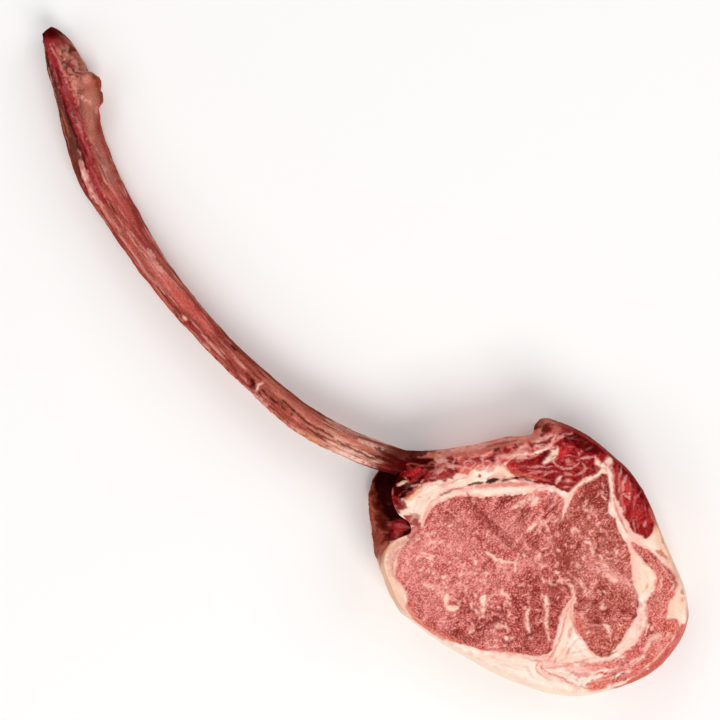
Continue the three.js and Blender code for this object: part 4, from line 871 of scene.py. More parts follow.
class Slab:
    """The whole cut of meat as a grid over its plan, with the maps that all its pieces share."""

    LOW, HIGH = (54.0, -74.0), (240.0, 74.0)

    def __init__(self, sizes, palette):
        self.sizes, self.palette = sizes, palette
        waists = np.array([waist for waist, _, _ in STATIONS], float)
        rims = [
            rim if isinstance(rim, tuple) else waist - rim * out
            for waist, out, (_, rim, _) in zip(waists, outwards(waists), STATIONS)
        ]
        self.rim = smooth_curve(rims, RIM_POINTS)
        self.waist = smooth_curve(waists, RIM_POINTS)
        self.out = outwards(self.waist)
        hollows = [hollow for _, _, hollow in STATIONS + STATIONS[:1]]
        stations = np.arange(RIM_POINTS) / RIM_POINTS * len(STATIONS)
        self.hollow = np.interp(stations, range(len(hollows)), hollows)
        self.nx = int((self.HIGH[0] - self.LOW[0]) / sizes.grid) + 1
        self.ny = int((self.HIGH[1] - self.LOW[1]) / sizes.grid) + 1
        across = self.LOW[0] + sizes.grid * np.arange(self.nx)
        upwards = self.LOW[1] + sizes.grid * np.arange(self.ny)
        self.x, self.y = (g.ravel() for g in np.meshgrid(across, upwards))
        self.edge, self.place = depth_inside(self.x, self.y, self.rim)
        self.edge = np.maximum(self.edge, -REACH)
        self.depth = {}
        for name, ring in MUSCLES.items():
            depth, _ = depth_inside(self.x, self.y, smooth_curve(ring, OUTLINE_POINTS))
            self.depth[name] = np.minimum(depth, self.edge - MUSCLE_INSET)
        self.top = self.painted(seed=0)
        self.bottom = self.painted(seed=4000)

    def read(self, field, x, y):
        """A map's value between the grid's points, blended along both ways."""
        u = np.clip((x - self.LOW[0]) / self.sizes.grid, 0, self.nx - 1.001)
        v = np.clip((y - self.LOW[1]) / self.sizes.grid, 0, self.ny - 1.001)
        i, j = u.astype(int), v.astype(int)
        fu, fv = u - i, v - j
        at = j * self.nx + i
        if field.ndim == 2:
            fu, fv = fu[:, None], fv[:, None]
        low = field[at] * (1 - fu) + field[at + 1] * fu
        high = field[at + self.nx] * (1 - fu) + field[at + self.nx + 1] * fu
        return low * (1 - fv) + high * fv

    def face_height(self, x, y):
        """Height of the cut face: level, with long low waves, and sunk where the rib comes out."""
        wave = np.sin(x / 17 + 0.6) * np.cos(y / 21 - 0.4) + 0.5 * np.sin((x + y) / 11)
        cuff = (1 - smooth(60, 80, x)) * (1 - smooth(4, 18, y))
        return self.sizes.thickness + self.sizes.wave * wave / 1.5 - self.sizes.cuff_drop * cuff

    def painted(self, seed):
        """The maps of one cut face: fat first, then each muscle inside its outline, then strokes."""
        x, y = self.x, self.y
        paint = Paint(x, y, "cream", self.palette)
        paint.fat[:] = 1
        warp_x = x + 0.9 * rough(x, y, 4, 11 + seed) + 0.6 * rough(x, y, 1.5, 13 + seed, 2)
        warp_y = y + 0.9 * rough(x, y, 4, 21 + seed) + 0.6 * rough(x, y, 1.5, 23 + seed, 2)
        warped = {name: self.read(field, warp_x, warp_y) for name, field in self.depth.items()}
        self.paint_fat(paint, x, y, warped, seed)
        self.paint_eye(paint, x, y, warped["eye_muscle"], seed)
        self.paint_side(paint, x, y, warped["side_muscle"], seed)
        self.paint_cap(paint, x, y, warped["cap_muscle"], seed)
        self.paint_red(paint, x, y, warped["upper_cap_muscle"], warped["chine_muscle"], seed)
        self.paint_costal(paint, x, y, warped["costal_meat"], seed)
        paint.clouds(FACE_CLOUDS, 1 - paint.fat)
        for name, count in MARBLING.items():
            self.dashes(paint, self.depth[name], seed + len(name), count)
        paint.clouds(FAT_CLOUDS, smooth(0.5, 1, paint.fat))
        long = [s for s in FACE_STROKES if s[1] * (len(s) - 4) > LONG_STROKE]
        paint.strokes(FACE_STROKES if seed == 0 else long)
        lean = 1 - paint.fat
        paint.relief += self.sizes.fat_proud * paint.fat
        paint.relief += lean * (0.16 * rough(x, y, 1.6, 31 + seed, 2) + 0.2 * rough(x, y, 6, 33 + seed))
        paint.relief += paint.fat * (0.12 * rough(x, y, 4, 35 + seed) + 0.05 * noise(x, y, 1.2, 37 + seed))
        return paint

    def paint_fat(self, paint, x, y, warped, seed):
        """Fat: cream with an orange tinge in long clouds, in strands that run beside the muscles,
        and a rosy edge along every muscle."""
        near = np.max(list(warped.values()), axis=0)
        paint.lay(0.55 * smooth(-0.05, 0.45, rough(x, y, 15, 41 + seed)), "suet")
        across = 1.2 * near + 1.5 * rough(x, y, 7, 42 + seed)
        strand = rough(across, (0.75 * x + 0.66 * y) / 7, 1.4, 44 + seed, 2)
        beside = smooth(-12, -1, near)
        inner = smooth(4, 9, self.edge)
        paint.lay((0.6 + 0.25 * inner) * smooth(0.1, 0.6, strand) * beside, "pink")
        paint.lay((0.4 + 0.25 * inner) * smooth(0.4, 0.85, strand) * beside, "blush")
        paint.lay(0.8 * smooth(-2.8, -0.2, near) * smooth(-0.5, 0.3, rough(x, y, 2.4, 43 + seed)), "pink")
        paint.lay(0.4 * smooth(-1.2, 0.2, near) * smooth(-0.1, 0.5, rough(x, y, 3, 45 + seed)), "rust")
        paint.lay(0.35 * smooth(0.2, 0.6, rough(x, y, 3.4, 46 + seed)), "pink")
        bent = 2.4 * near + rough(x, y, 5, 47 + seed)
        fine = rough(bent, (0.75 * x + 0.66 * y) / 4, 1.6, 48 + seed, 2)
        paint.lay(0.36 * smooth(0.05, 0.55, fine), "pink")
        paint.lay(0.35 * smooth(0.2, 0.6, -fine), "suet")
        paint.relief += 0.2 * strand * beside
        left_rim = (1 - smooth(0.5, 5, self.edge)) * (1 - smooth(100, 124, x))
        left_rim = left_rim * (1 - smooth(-44, -36, y))
        paint.lay(0.7 * left_rim, "suet")
        paint.lay(0.5 * left_rim * smooth(-0.1, 0.5, rough(x, y, 5, 50 + seed)), "gold")
        skin = (1 - smooth(1, 4, self.edge)) * smooth(40, 60, y) * (1 - smooth(196, 214, x))
        paint.lay(0.6 * skin, "membrane")
        dark = (1 - smooth(2, 7, self.edge)) * smooth(52, 60, y) * (1 - smooth(172, 182, x))
        paint.lay(dark, "crimson", 0.1, 0.7)
        paint.lay(0.85 * dark * smooth(-0.3, 0.4, rough(x, y, 6, 49 + seed)), "maroon", 0.1, 0.7)

    def paint_eye(self, paint, x, y, depth, seed):
        """The eye: rosy lean, paler to the rib side and the flank, darker to the far side."""
        mask = smooth(-0.3, 0.3, depth)
        paint.lay(mask, "lean", 0, 0.35)
        far = smooth(-26, 26, 0.8 * (x - 141) - 0.25 * (y + 25) + 9 * rough(x, y, 12, 51 + seed))
        upper = smooth(-16, 4, y + 3 * rough(x, y, 9, 55 + seed)) * (1 - smooth(136, 150, x))
        corner = smooth(0, 9, y) * (1 - smooth(135, 142, x)) * mask
        comb = rough(x, y / 8, 1.3, seed + 56, 2)
        # pale on the ridges, and dusky in the furrows as painted shade
        paint.lay(corner * 0.75 * smooth(0.08, 0.42, comb), "fleck", 0.3)
        paint.lay(corner * 0.75 * smooth(0.08, 0.42, -comb), "dusky")
        paint.relief += 0.25 * corner * comb
        self.fibres(paint, mask, x, y, seed + 100, 0.34 - 0.9 * far - 0.34 * upper)
        self.threads(paint, mask, x, y, seed + 120, 0.8)

    def paint_side(self, paint, x, y, depth, seed):
        """The side muscle: browner lean, redder towards the star of fat."""
        mask = smooth(-0.3, 0.3, depth + 0.4 * smooth(28, 36, y))
        paint.lay(mask, "tan", 0, 0.35)
        paint.lay(mask * 0.6 * smooth(0.1, 0.5, rough(x, y, 9, 61 + seed)), "lean")
        star = smooth(36, 52, y) * (1 - smooth(150, 160, x))
        paint.lay(mask * 0.5 * star, "crimson", None, 0.6)
        self.fibres(paint, mask, x, y, seed + 200, -0.16 - 0.3 * star)
        self.threads(paint, mask, x, y, seed + 220, 0.5)

    def paint_cap(self, paint, x, y, depth, seed):
        """The cap muscle: rosy meat laced with fat, palest where it thins out."""
        mask = smooth(-0.6, 0.6, depth + 1.0 * rough(x, y, 2.2, 71 + seed))
        paint.lay(mask, "blush", 0.1, 0.4)
        paint.lay(mask * 0.7 * smooth(0.0, 0.5, rough(x, y, 5, 72 + seed)), "lean")
        paint.lay(mask * 0.6 * smooth(0.15, 0.6, rough(x, y, 7, 74 + seed)), "rust")
        across = 1.1 * depth + 1.2 * rough(x, y, 6, 75 + seed)
        strand = rough(across, (y - 0.4 * x) / 6, 1.5, 77 + seed, 2)
        thin = 1 - smooth(-26, -8, y)
        paint.lay(mask * smooth(0.1, 0.6, strand + 0.7 * thin), "pink", 0.6)
        paint.lay(mask * smooth(0.4, 0.9, strand + 0.75 * thin), "cream", 0.8)
        self.fibres(paint, mask * (1 - 0.7 * thin), x, y, seed + 240, 0.0)
        paint.relief += mask * 0.22 * strand

    def paint_red(self, paint, x, y, upper, chine, seed):
        """The two wet dark muscles: crimson, with darker clouds and thin pale streaks."""
        mask = smooth(-0.35, 0.35, np.maximum(upper, chine) + 0.5 + 0.4 * rough(x, y, 2.4, 80 + seed))
        paint.lay(mask, "crimson", 0, 0.8)
        turn = np.where(upper > chine, -1, 1)
        along, across = 0.77 * x + 0.64 * turn * y, 0.77 * y - 0.64 * turn * x
        bend = 1.6 * rough(x, y, 7, 88 + seed)
        paint.lay(mask * 0.8 * smooth(0.0, 0.6, rough(along / 2, across + bend, 5, 81 + seed)), "maroon")
        streak = 1.25 * rough(along / 7, across + bend, 1.3, 83 + seed, 2)
        cloud = 0.5 * rough(x, y, 8, 85 + seed)
        paint.lay(mask * 0.7 * smooth(0.2, 0.8, streak + cloud), "rose", 0.1)
        paint.lay(mask * 0.45 * smooth(0.65, 1.0, streak + cloud), "pink", 0.5)
        paint.lay(mask * 0.5 * smooth(0.2, 0.7, noise(x, y, 1.1, 86 + seed) * (0.6 + cloud)), "rose")
        # bright red patches, partly painted sheen on the wet meat
        paint.lay(mask * 0.6 * smooth(0.25, 0.6, rough(x, y, 5, 84 + seed)), "scarlet", 0)
        paint.lay(mask * 0.5 * smooth(0.2, 0.7, noise(x, y, 1.2, 89 + seed)), "maroon")
        paint.relief += mask * (0.25 * streak + 0.25 * rough(x, y, 4, 87 + seed))

    def paint_costal(self, paint, x, y, depth, seed):
        """The rib-side strip: rough pink-brown meat in lumps, with darker hollows that are partly painted
        shade.
        """
        mask = smooth(-0.8, 0.8, depth + 0.8 * rough(x, y, 3, 90 + seed))
        station = self.place * len(STATIONS)
        rim_side = smooth(32.6, 33.4, station) * (1 - smooth(2.5, 5, self.edge))
        mask = np.maximum(mask, rim_side)
        along, across = 0.6 * x + 0.8 * y, 0.8 * x - 0.6 * y
        lump = rough(along / 1.4, across, 3.0, 91 + seed)
        web = 1 - 3.2 * np.abs(noise(along / 1.5 + lump, across + 0.6 * lump, 3.2, 94 + seed))
        paint.lay(mask, "blush", 0.2, 0.5)
        paint.lay(mask * 0.85 * smooth(-0.1, 0.4, rough(along / 1.5, across, 2.6, 93 + seed)), "lean", 0, 0.6)
        # crimson and maroon in the low places between the lumps: the meat's red, and painted shade
        paint.lay(mask * 0.9 * smooth(-0.08, 0.36, -lump), "crimson", 0, 0.8)
        paint.lay(mask * 0.6 * smooth(0.25, 0.6, -lump), "maroon", 0, 0.8)
        # painted shade: maroon over the corner under the rib, with clotted blood, and crimson on its lumps
        torn = 1 - smooth(68, 79, x + 0.3 * y)
        paint.lay(mask * torn, "maroon", 0, 0.8)
        paint.lay(mask * torn * smooth(0.0, 0.5, lump), "crimson", 0, 0.8)
        pale = mask * (1 - torn)
        paint.lay(pale * 0.8 * smooth(0.12, 0.5, lump), "pink", 0.6)
        paint.lay(pale * 0.75 * smooth(0.1, 0.8, web), "pink", 0.6)
        paint.lay(pale * 0.5 * smooth(0.4, 0.7, rough(along / 2, across, 1.5, 95 + seed, 2)), "cream", 0.8)
        paint.relief += mask * (0.9 * lump + 0.5 * smooth(0, 0.8, web) + 0.4 * rough(x, y, 1.8, 97 + seed, 2))

    def fibres(self, paint, mask, x, y, seed, pale):
        """Cut ends of the fibres: clumps of pale flecks raised over the base, with dark gaps between them
        that are partly painted shade in the low places.
        """
        cloud = 0.5 * rough(x, y, 11, seed, 3) + 0.35 * rough(x + 0.25 * y, y / 3.4, 4.6, seed + 4, 2)
        ends = 0.65 * rough(x, y, 3.2, seed + 3, 2) + 0.5 * noise(x * 1.1, y * 0.8, 1.0, seed + 6)
        combed = 0.45 * noise(x / 2.4, y * 1.1, 1.05, seed + 8)
        combed = combed + 0.45 * noise(x * 1.1, y / 2.4, 1.05, seed + 9)
        rows = 0.5 * rough(x + 0.3 * y, (y - 0.3 * x) / 4.5, 1.9, seed + 15, 2)
        clump = cloud + ends + combed + rows
        paint.lay(mask * 0.85 * smooth(0.05, 1.25, clump + pale), "fleck", 0.3)
        paint.lay(mask * 0.85 * smooth(0.1, 1.15, -clump - 0.9 * pale), "dusky")
        paint.relief += mask * 0.08 * clump

    def dashes(self, paint, depth, seed, count):
        """Marbling: many short bent lines of fat, set at random where a slow noise is high."""
        rng = np.random.default_rng(seed)
        inside = np.flatnonzero(depth > 1.5)
        picks = rng.choice(inside, 3 * count)
        crowd = rough(self.x[picks], self.y[picks], 12, seed, 2) + rng.uniform(-0.5, 0.5, 3 * count)
        table = []
        for k in picks[np.argsort(-crowd)[:count]]:
            turn, bend = rng.uniform(0, 2 * np.pi), rng.uniform(-0.9, 0.9)
            reach, width = rng.uniform(0.4, 1.7), rng.uniform(0.55, 1.05)
            middle = np.array([self.x[k], self.y[k]])
            one = middle + reach * np.array([math.cos(turn), math.sin(turn)])
            two = middle - reach * np.array([math.cos(turn + bend), math.sin(turn + bend)])
            colour = "marble" if rng.uniform() < 0.7 else "fleck"
            table.append((colour, width, rng.uniform(0.45, 0.95), 0, one, middle, two))
        paint.strokes(table, where=smooth(0.2, 1.2, depth))

    def threads(self, paint, mask, x, y, seed, amount):
        """Fine marbling: thin bent threads of fat, only here and there."""
        bend = 2.2 * rough(x, y, 6, seed + 9)
        for spacing, shift in ((7.0, 0), (4.5, 3)):
            thread = 1 - np.abs(noise(x + bend, y - bend, spacing, seed + 7 + shift)) * spacing * 1.9
            here = smooth(0.14, 0.45, rough(x, y, spacing * 1.4, seed + 11 + shift))
            paint.lay(mask * amount * smooth(0.1, 0.8, thread) * here, "fleck", 0.8)
            paint.lay(mask * 0.7 * amount * smooth(0.5, 1.0, thread) * here, "marble", 0.9)

    def lean_out(self, x, y, share):
        """Where a point of the cut face goes at a share of the fall to the foot: the rim's own
        offset to the waist, fading inwards from the rim as a bell curve."""
        at = (self.read_place(x, y) * len(self.rim)).astype(int) % len(self.rim)
        hollow = self.hollow[at]
        plain = np.sin(np.pi / 2 * np.minimum(share / 0.5, 1)) ** 0.8
        reach = plain + (smooth(0.3, 0.86, share) - plain) * hollow
        tuck = self.sizes.foot_tuck * (1 - hollow) * smooth(0.5, 1, share) ** 2
        fade = np.exp(-((np.maximum(self.read(self.edge, x, y), 0) / 7) ** 2))
        offset = (self.waist[at] - self.rim[at]) * reach[:, None] - self.out[at] * tuck[:, None]
        return offset * fade[:, None]

    def read_place(self, x, y):
        """The nearest place on the rim, from 0 to 1, without blending across its ends."""
        i = np.clip(np.rint((x - self.LOW[0]) / self.sizes.grid).astype(int), 0, self.nx - 1)
        j = np.clip(np.rint((y - self.LOW[1]) / self.sizes.grid).astype(int), 0, self.ny - 1)
        return self.place[j * self.nx + i]

    def trimmed(self, depth):
        """The part of the grid where depth is positive, as plan points and triangles. Points near
        the border are first moved onto it, and each triangle that still crosses it is cut there."""
        x, y = self.x.copy(), self.y.copy()
        shaped = depth.reshape(self.ny, self.nx)
        slope_y, slope_x = (g.ravel() for g in np.gradient(shaped, self.sizes.grid))
        d = depth.copy()
        near = np.abs(d) < SNAP * self.sizes.grid
        steep = np.maximum(slope_x**2 + slope_y**2, 0.25)
        x[near] -= (d * slope_x / steep)[near]
        y[near] -= (d * slope_y / steep)[near]
        d[near] = 0
        corner = (np.arange(self.ny - 1)[:, None] * self.nx + np.arange(self.nx - 1)).ravel()
        a, b, c, e = corner, corner + 1, corner + self.nx + 1, corner + self.nx
        tris = np.vstack([np.column_stack([a, b, c]), np.column_stack([a, c, e])])
        inside = d[tris] >= 0
        count = inside.sum(axis=1)
        whole = (count == 3) & (depth[tris].mean(axis=1) > 0)
        kept = [tris[whole]]
        pairs = []
        for inside_count in (1, 2):
            rows = tris[count == inside_count]
            flag = inside[count == inside_count]
            odd = flag if inside_count == 1 else ~flag
            first = odd.argmax(axis=1)
            order = (first[:, None] + np.arange(3)) % 3
            pairs.append(np.take_along_axis(rows, order, axis=1))
        one, two = pairs
        edges = np.vstack([one[:, [0, 1]], one[:, [0, 2]], two[:, [0, 1]], two[:, [0, 2]]])
        sorted_edges = np.sort(edges, axis=1)
        unique, back = np.unique(sorted_edges, axis=0, return_inverse=True)
        back = back.ravel()
        d0, d1 = d[unique[:, 0]], d[unique[:, 1]]
        t = d0 / np.where(d0 == d1, 1, d0 - d1)
        new_x = x[unique[:, 0]] * (1 - t) + x[unique[:, 1]] * t
        new_y = y[unique[:, 0]] * (1 - t) + y[unique[:, 1]] * t
        index = len(x) + np.arange(len(unique))
        index = np.where(d0 == 0, unique[:, 0], np.where(d1 == 0, unique[:, 1], index))[back]
        n1, n2 = len(one), len(two)
        e01, e02 = index[:n1], index[n1 : 2 * n1]
        f01, f02 = index[2 * n1 : 2 * n1 + n2], index[2 * n1 + n2 :]
        kept.append(np.column_stack([one[:, 0], e01, e02]))
        kept.append(np.column_stack([f01, two[:, 1], two[:, 2]]))
        kept.append(np.column_stack([f01, two[:, 2], f02]))
        used, faces = np.unique(without_slivers(np.vstack(kept)), return_inverse=True)
        x, y = np.append(x, new_x)[used], np.append(y, new_y)[used]
        return x, y, faces.reshape(-1, 3)

    def steepest(self, depth, x, y):
        """Unit vectors along which the depth grows, at these places."""
        growth = np.gradient(depth.reshape(self.ny, self.nx), self.sizes.grid)[::-1]
        slope = np.column_stack([self.read(g.ravel(), x, y) for g in growth])
        return slope / np.maximum(np.linalg.norm(slope, axis=1, keepdims=True), 0.1)

    def piece(self, depth, levels):
        """A closed body from the cut face to the foot over the part where depth is positive: both
        faces, and a wall of rings between their borders, drawn in by the gap below the surface.
        Where the wall meets another piece, and doesn't show, it keeps a few of its rings."""
        x, y, tris = self.trimmed(depth)
        plan = np.column_stack([x, y])
        loop, border = border_of(tris)
        n, m = len(x), len(loop)
        rim = self.read(self.edge, x[loop], y[loop]) < RIM_REACH
        inwards = self.steepest(depth, x[loop], y[loop]) * (WALL_GAP * ~rim)[:, None]
        fall = self.sizes.rim_drop * (1 - smooth(0, self.sizes.rim_band, self.read(self.edge, x, y)))
        top_z = self.face_height(x, y) + self.read(self.top.relief, x, y) - fall
        foot = plan + self.lean_out(x, y, np.ones(n))
        pit = np.clip(-0.6 * self.read(self.bottom.relief, x, y) + 0.2, 0, 0.6)
        pit[loop] = 0
        points = [np.column_stack([plan, top_z]), np.column_stack([foot, pit])]
        looks = [
            [self.read(field, x, y) for field in (face.tone, face.fat, face.wet)]
            for face in (self.top, self.bottom)
        ]
        above, below = (look[0][loop] for look in looks)
        place = self.read_place(x[loop], y[loop])
        out = self.out[(place * len(self.rim)).astype(int) % len(self.rim)]
        for share in levels:
            s = np.full(m, share)
            at = plan[loop] + self.lean_out(x[loop], y[loop], s) + inwards
            height = top_z[loop] * (1 - share)
            nearer = FACE_DISTANCE / (CAMERA_HEIGHT - height)[:, None]
            sight = np.array(VIEW_CENTRE) + (at - VIEW_CENTRE) * nearer
            bump, *skin = self.wall_skin(place, s, sight, above, below)
            points.append(np.column_stack([at + out * (bump * rim)[:, None], height]))
            looks.append(
                [np.where(rim[:, None] if new.ndim == 2 else rim, new, old[loop])
                 for new, old in zip(skin, looks[0])]
            )
        rings = [loop] + [2 * n + k * m + np.arange(m) for k in range(len(levels))] + [n + loop]
        wall = self.wall_faces(np.array(rings), border, rim)
        faces = np.vstack([tris, n + tris[:, ::-1], wall])
        on_wall = np.arange(len(faces)) >= 2 * len(tris)
        used, faces = np.unique(faces, return_inverse=True)
        tone, fat, wet = (np.concatenate(values)[used] for values in zip(*looks))
        return np.vstack(points)[used], faces.reshape(-1, 3), tone, fat, wet, on_wall

    def wall_faces(self, rings, border, rim):
        """Two triangles for each edge of the border between one ring and the next. Off the rim, the
        rings that aren't kept fall onto the nearest one that is, and their triangles vanish."""
        last = len(rings) - 1
        kept = np.linspace(1, last - 1, HIDDEN_RINGS).astype(int)
        kept = np.unique(np.concatenate([[0, last], kept]))
        nearest = kept[np.abs(np.arange(last + 1)[:, None] - kept).argmin(axis=1)]
        rings = np.where(rim, rings, rings[nearest])
        p, q = border[:, 0], border[:, 1]
        wall = []
        for upper, lower in zip(rings, rings[1:]):
            wall.append(np.column_stack([upper[q], upper[p], lower[p]]))
            wall.append(np.column_stack([upper[q], lower[p], lower[q]]))
        return without_slivers(np.vstack(wall))

    def wall_skin(self, place, share, sight, above, below):
        """The outer wall's relief and colours: patches that follow the outline and the height, with painted
        shade in the hollow under the ledge and beside the rib, met by the colours of the cut face at the rim
        and of the underside at the foot."""
        around = place * RIM_LENGTH
        down = share * self.sizes.thickness
        u = place * len(STATIONS) + 0.6 * rough(around, down / 1.5, 7, 319, 2)
        paint = Paint(around, down, "suet", self.palette)
        lump = rough(around, down, 9, 301)
        fine = rough(around, down, 2.2, 303)
        meaty = smooth(19.6, 20.4, u) * (1 - smooth(23.6, 24.8, u))
        cream = smooth(11, 13, u) * (1 - smooth(24, 27, u)) * (1 - meaty)
        paint.lay(0.75 * cream, "cream")
        paint.lay(0.35 * smooth(0, 0.6, rough(around / 2, down, 6, 305)), "pink")
        paint.lay(0.85 * meaty, "blush", 0.2, 0.4)
        paint.lay(0.6 * meaty * smooth(-0.1, 0.5, rough(around / 3, down, 2.6, 311)), "pink", 0.6)
        paint.lay(0.5 * meaty * smooth(0.0, 0.5, fine), "membrane")
        chine = smooth(26.5, 28.5, u) * (1 - smooth(32, 33.5, u))
        paint.lay(0.95 * chine, "crimson", 0.1, 0.5)
        paint.lay(0.6 * chine * smooth(-0.2, 0.4, lump), "umber", 0.1, 0.6)
        paint.lay(0.7 * chine * smooth(0.0, 0.5, fine), "maroon", 0.1, 0.6)
        rib_side = smooth(31.6, 34.6, u)
        paint.lay(0.8 * rib_side, "membrane", 0.3, 0.4)
        paint.lay(rib_side * 0.55 * smooth(-0.4, 0.4, rough(around, down / 3, 4, 307)), "pink")
        paint.lay(rib_side * 0.55 * smooth(-0.3, 0.3, rough(around, down / 2, 5, 317)), "rust")
        paint.lay(rib_side * 0.4 * smooth(0.2, 0.6, -lump), "lean")
        flank = 1 - smooth(7.6, 9.2, u)
        paint.lay(flank, "umber", 0.1, 0.5)
        # painted shade: maroon high on the flank wall, in the shade under the ledge
        paint.lay(flank * 0.8 * (1 - smooth(0.3, 0.62, share + 0.12 * lump)), "maroon", 0, 0.7)
        paint.lay(flank * 0.45 * smooth(0.6, 0.95, share + 0.15 * lump), "membrane")
        shown = flank * smooth(0.3, 0.55, share)
        paint.lay(0.7 * shown * smooth(0.05, 0.4, rough(around / 1.6, down, 3, 313)), "tan")
        paint.lay(0.4 * shown * smooth(0.1, 0.5, rough(around, down, 1.6, 315, 2)), "membrane")
        paint.lay(0.6 * shown * smooth(0.1, 0.5, -rough(around / 1.6, down, 3, 313)), "maroon")
        # painted shade: near-black in the hollow under the ledge where the rib goes in
        hollow_shade = (1 - smooth(2.6, 4.6, u)) + smooth(41, 41.7, u)
        paint.lay(hollow_shade * (1 - smooth(0.5, 0.95, share)), "void", 0, 0.4)
        # painted shade: maroon on the wall beside and beneath the rib where it goes in
        paint.lay(smooth(38.6, 41, u) * 0.9, "maroon", 0, 0.6)
        paint.strokes(WALL_STROKES, sight[:, 0], sight[:, 1], np.maximum(flank, rib_side))
        ends = (1 - smooth(0, 0.1, share))[:, None]
        foot = smooth(0.93, 1, share)[:, None]
        tone = paint.tone + (above - paint.tone) * ends
        tone = tone + (below - tone) * foot
        calm = smooth(0, 0.12, share) * (1 - smooth(0.9, 1, share))
        bump = calm * (0.5 * lump + 0.16 * fine + flank * 0.8 * rough(around, down, 5, 309))
        return bump, tone, paint.fat + 0.8 * cream, paint.wet


# ---- Shader sheets -----------------------------------------------------------------


class Wire:
    """One output of a shader node, with arithmetic that adds Math nodes."""

    def __init__(self, sheet, socket):
        self.sheet, self.socket = sheet, socket

    def maths(self, operation, *values):
        """A Math node on these values, clamped by nothing."""
        return self.sheet.node("ShaderNodeMath", {"operation": operation}, dict(enumerate(values)))

    def __add__(self, other):
        return self.maths("ADD", self, other)

    def __radd__(self, other):
        return self.maths("ADD", other, self)

    def __sub__(self, other):
        return self.maths("SUBTRACT", self, other)

    def __rsub__(self, other):
        return self.maths("SUBTRACT", other, self)

    def __mul__(self, other):
        return self.maths("MULTIPLY", self, other)

    def __rmul__(self, other):
        return self.maths("MULTIPLY", other, self)

    def between(self, low, high):
        """0 below low, 1 above high, and an S-curve between."""
        settings = {"interpolation_type": "SMOOTHSTEP"}
        ends = {1: low, 2: high, 3: 0.0, 4: 1.0}
        return self.sheet.node("ShaderNodeMapRange", settings, {"Value": self, **ends})


class Sheet:
    """The node tree of one material."""

    def __init__(self, name):
        self.material = bpy.data.materials.new(name)
        self.material.use_nodes = True
        self.tree = self.material.node_tree
        self.shader = self.tree.nodes["Principled BSDF"]

    def node(self, kind, settings, inputs, output=0):
        """A node of that kind, its settings made first and then its sockets' values and links."""
        node = self.tree.nodes.new(kind)
        for key, value in settings.items():
            setattr(node, key, value)
        for key, value in inputs.items():
            self.feed(node.inputs[key], value)
        return Wire(self, node.outputs[output])

    def feed(self, socket, value):
        """A value or a wire into one socket."""
        if isinstance(value, Wire):
            self.tree.links.new(value.socket, socket)
        else:
            socket.default_value = value

    def blend(self, factor, first, second, kind="MIX"):
        """Two colours blended."""
        settings = {"data_type": "RGBA", "blend_type": kind}
        return self.node("ShaderNodeMix", settings, {0: factor, 6: first, 7: second}, 2)

    def grain(self, where, scale, detail=2.0, roughness=0.5):
        """Noise from 0 to 1 at that many waves a metre."""
        inputs = {"Vector": where, "Scale": scale, "Detail": detail, "Roughness": roughness}
        return self.node("ShaderNodeTexNoise", {}, inputs)

    def stretched(self, where, turn, scale):
        """Coordinates drawn out by that scale along axes turned about Z."""
        inputs = {"Vector": where, "Rotation": (0, 0, turn), "Scale": scale}
        return self.node("ShaderNodeMapping", {"vector_type": "TEXTURE"}, inputs)

    def set(self, **values):
        """Values that are the same all over, straight on the shader's sockets."""
        for key, value in values.items():
            socket = key.replace("_", " ").title().replace("Ior", "IOR")
            self.shader.inputs[socket].default_value = value


DARKENING = (0.56, 0.3, 0.26)  # what the gaps between the fibres leave of the light


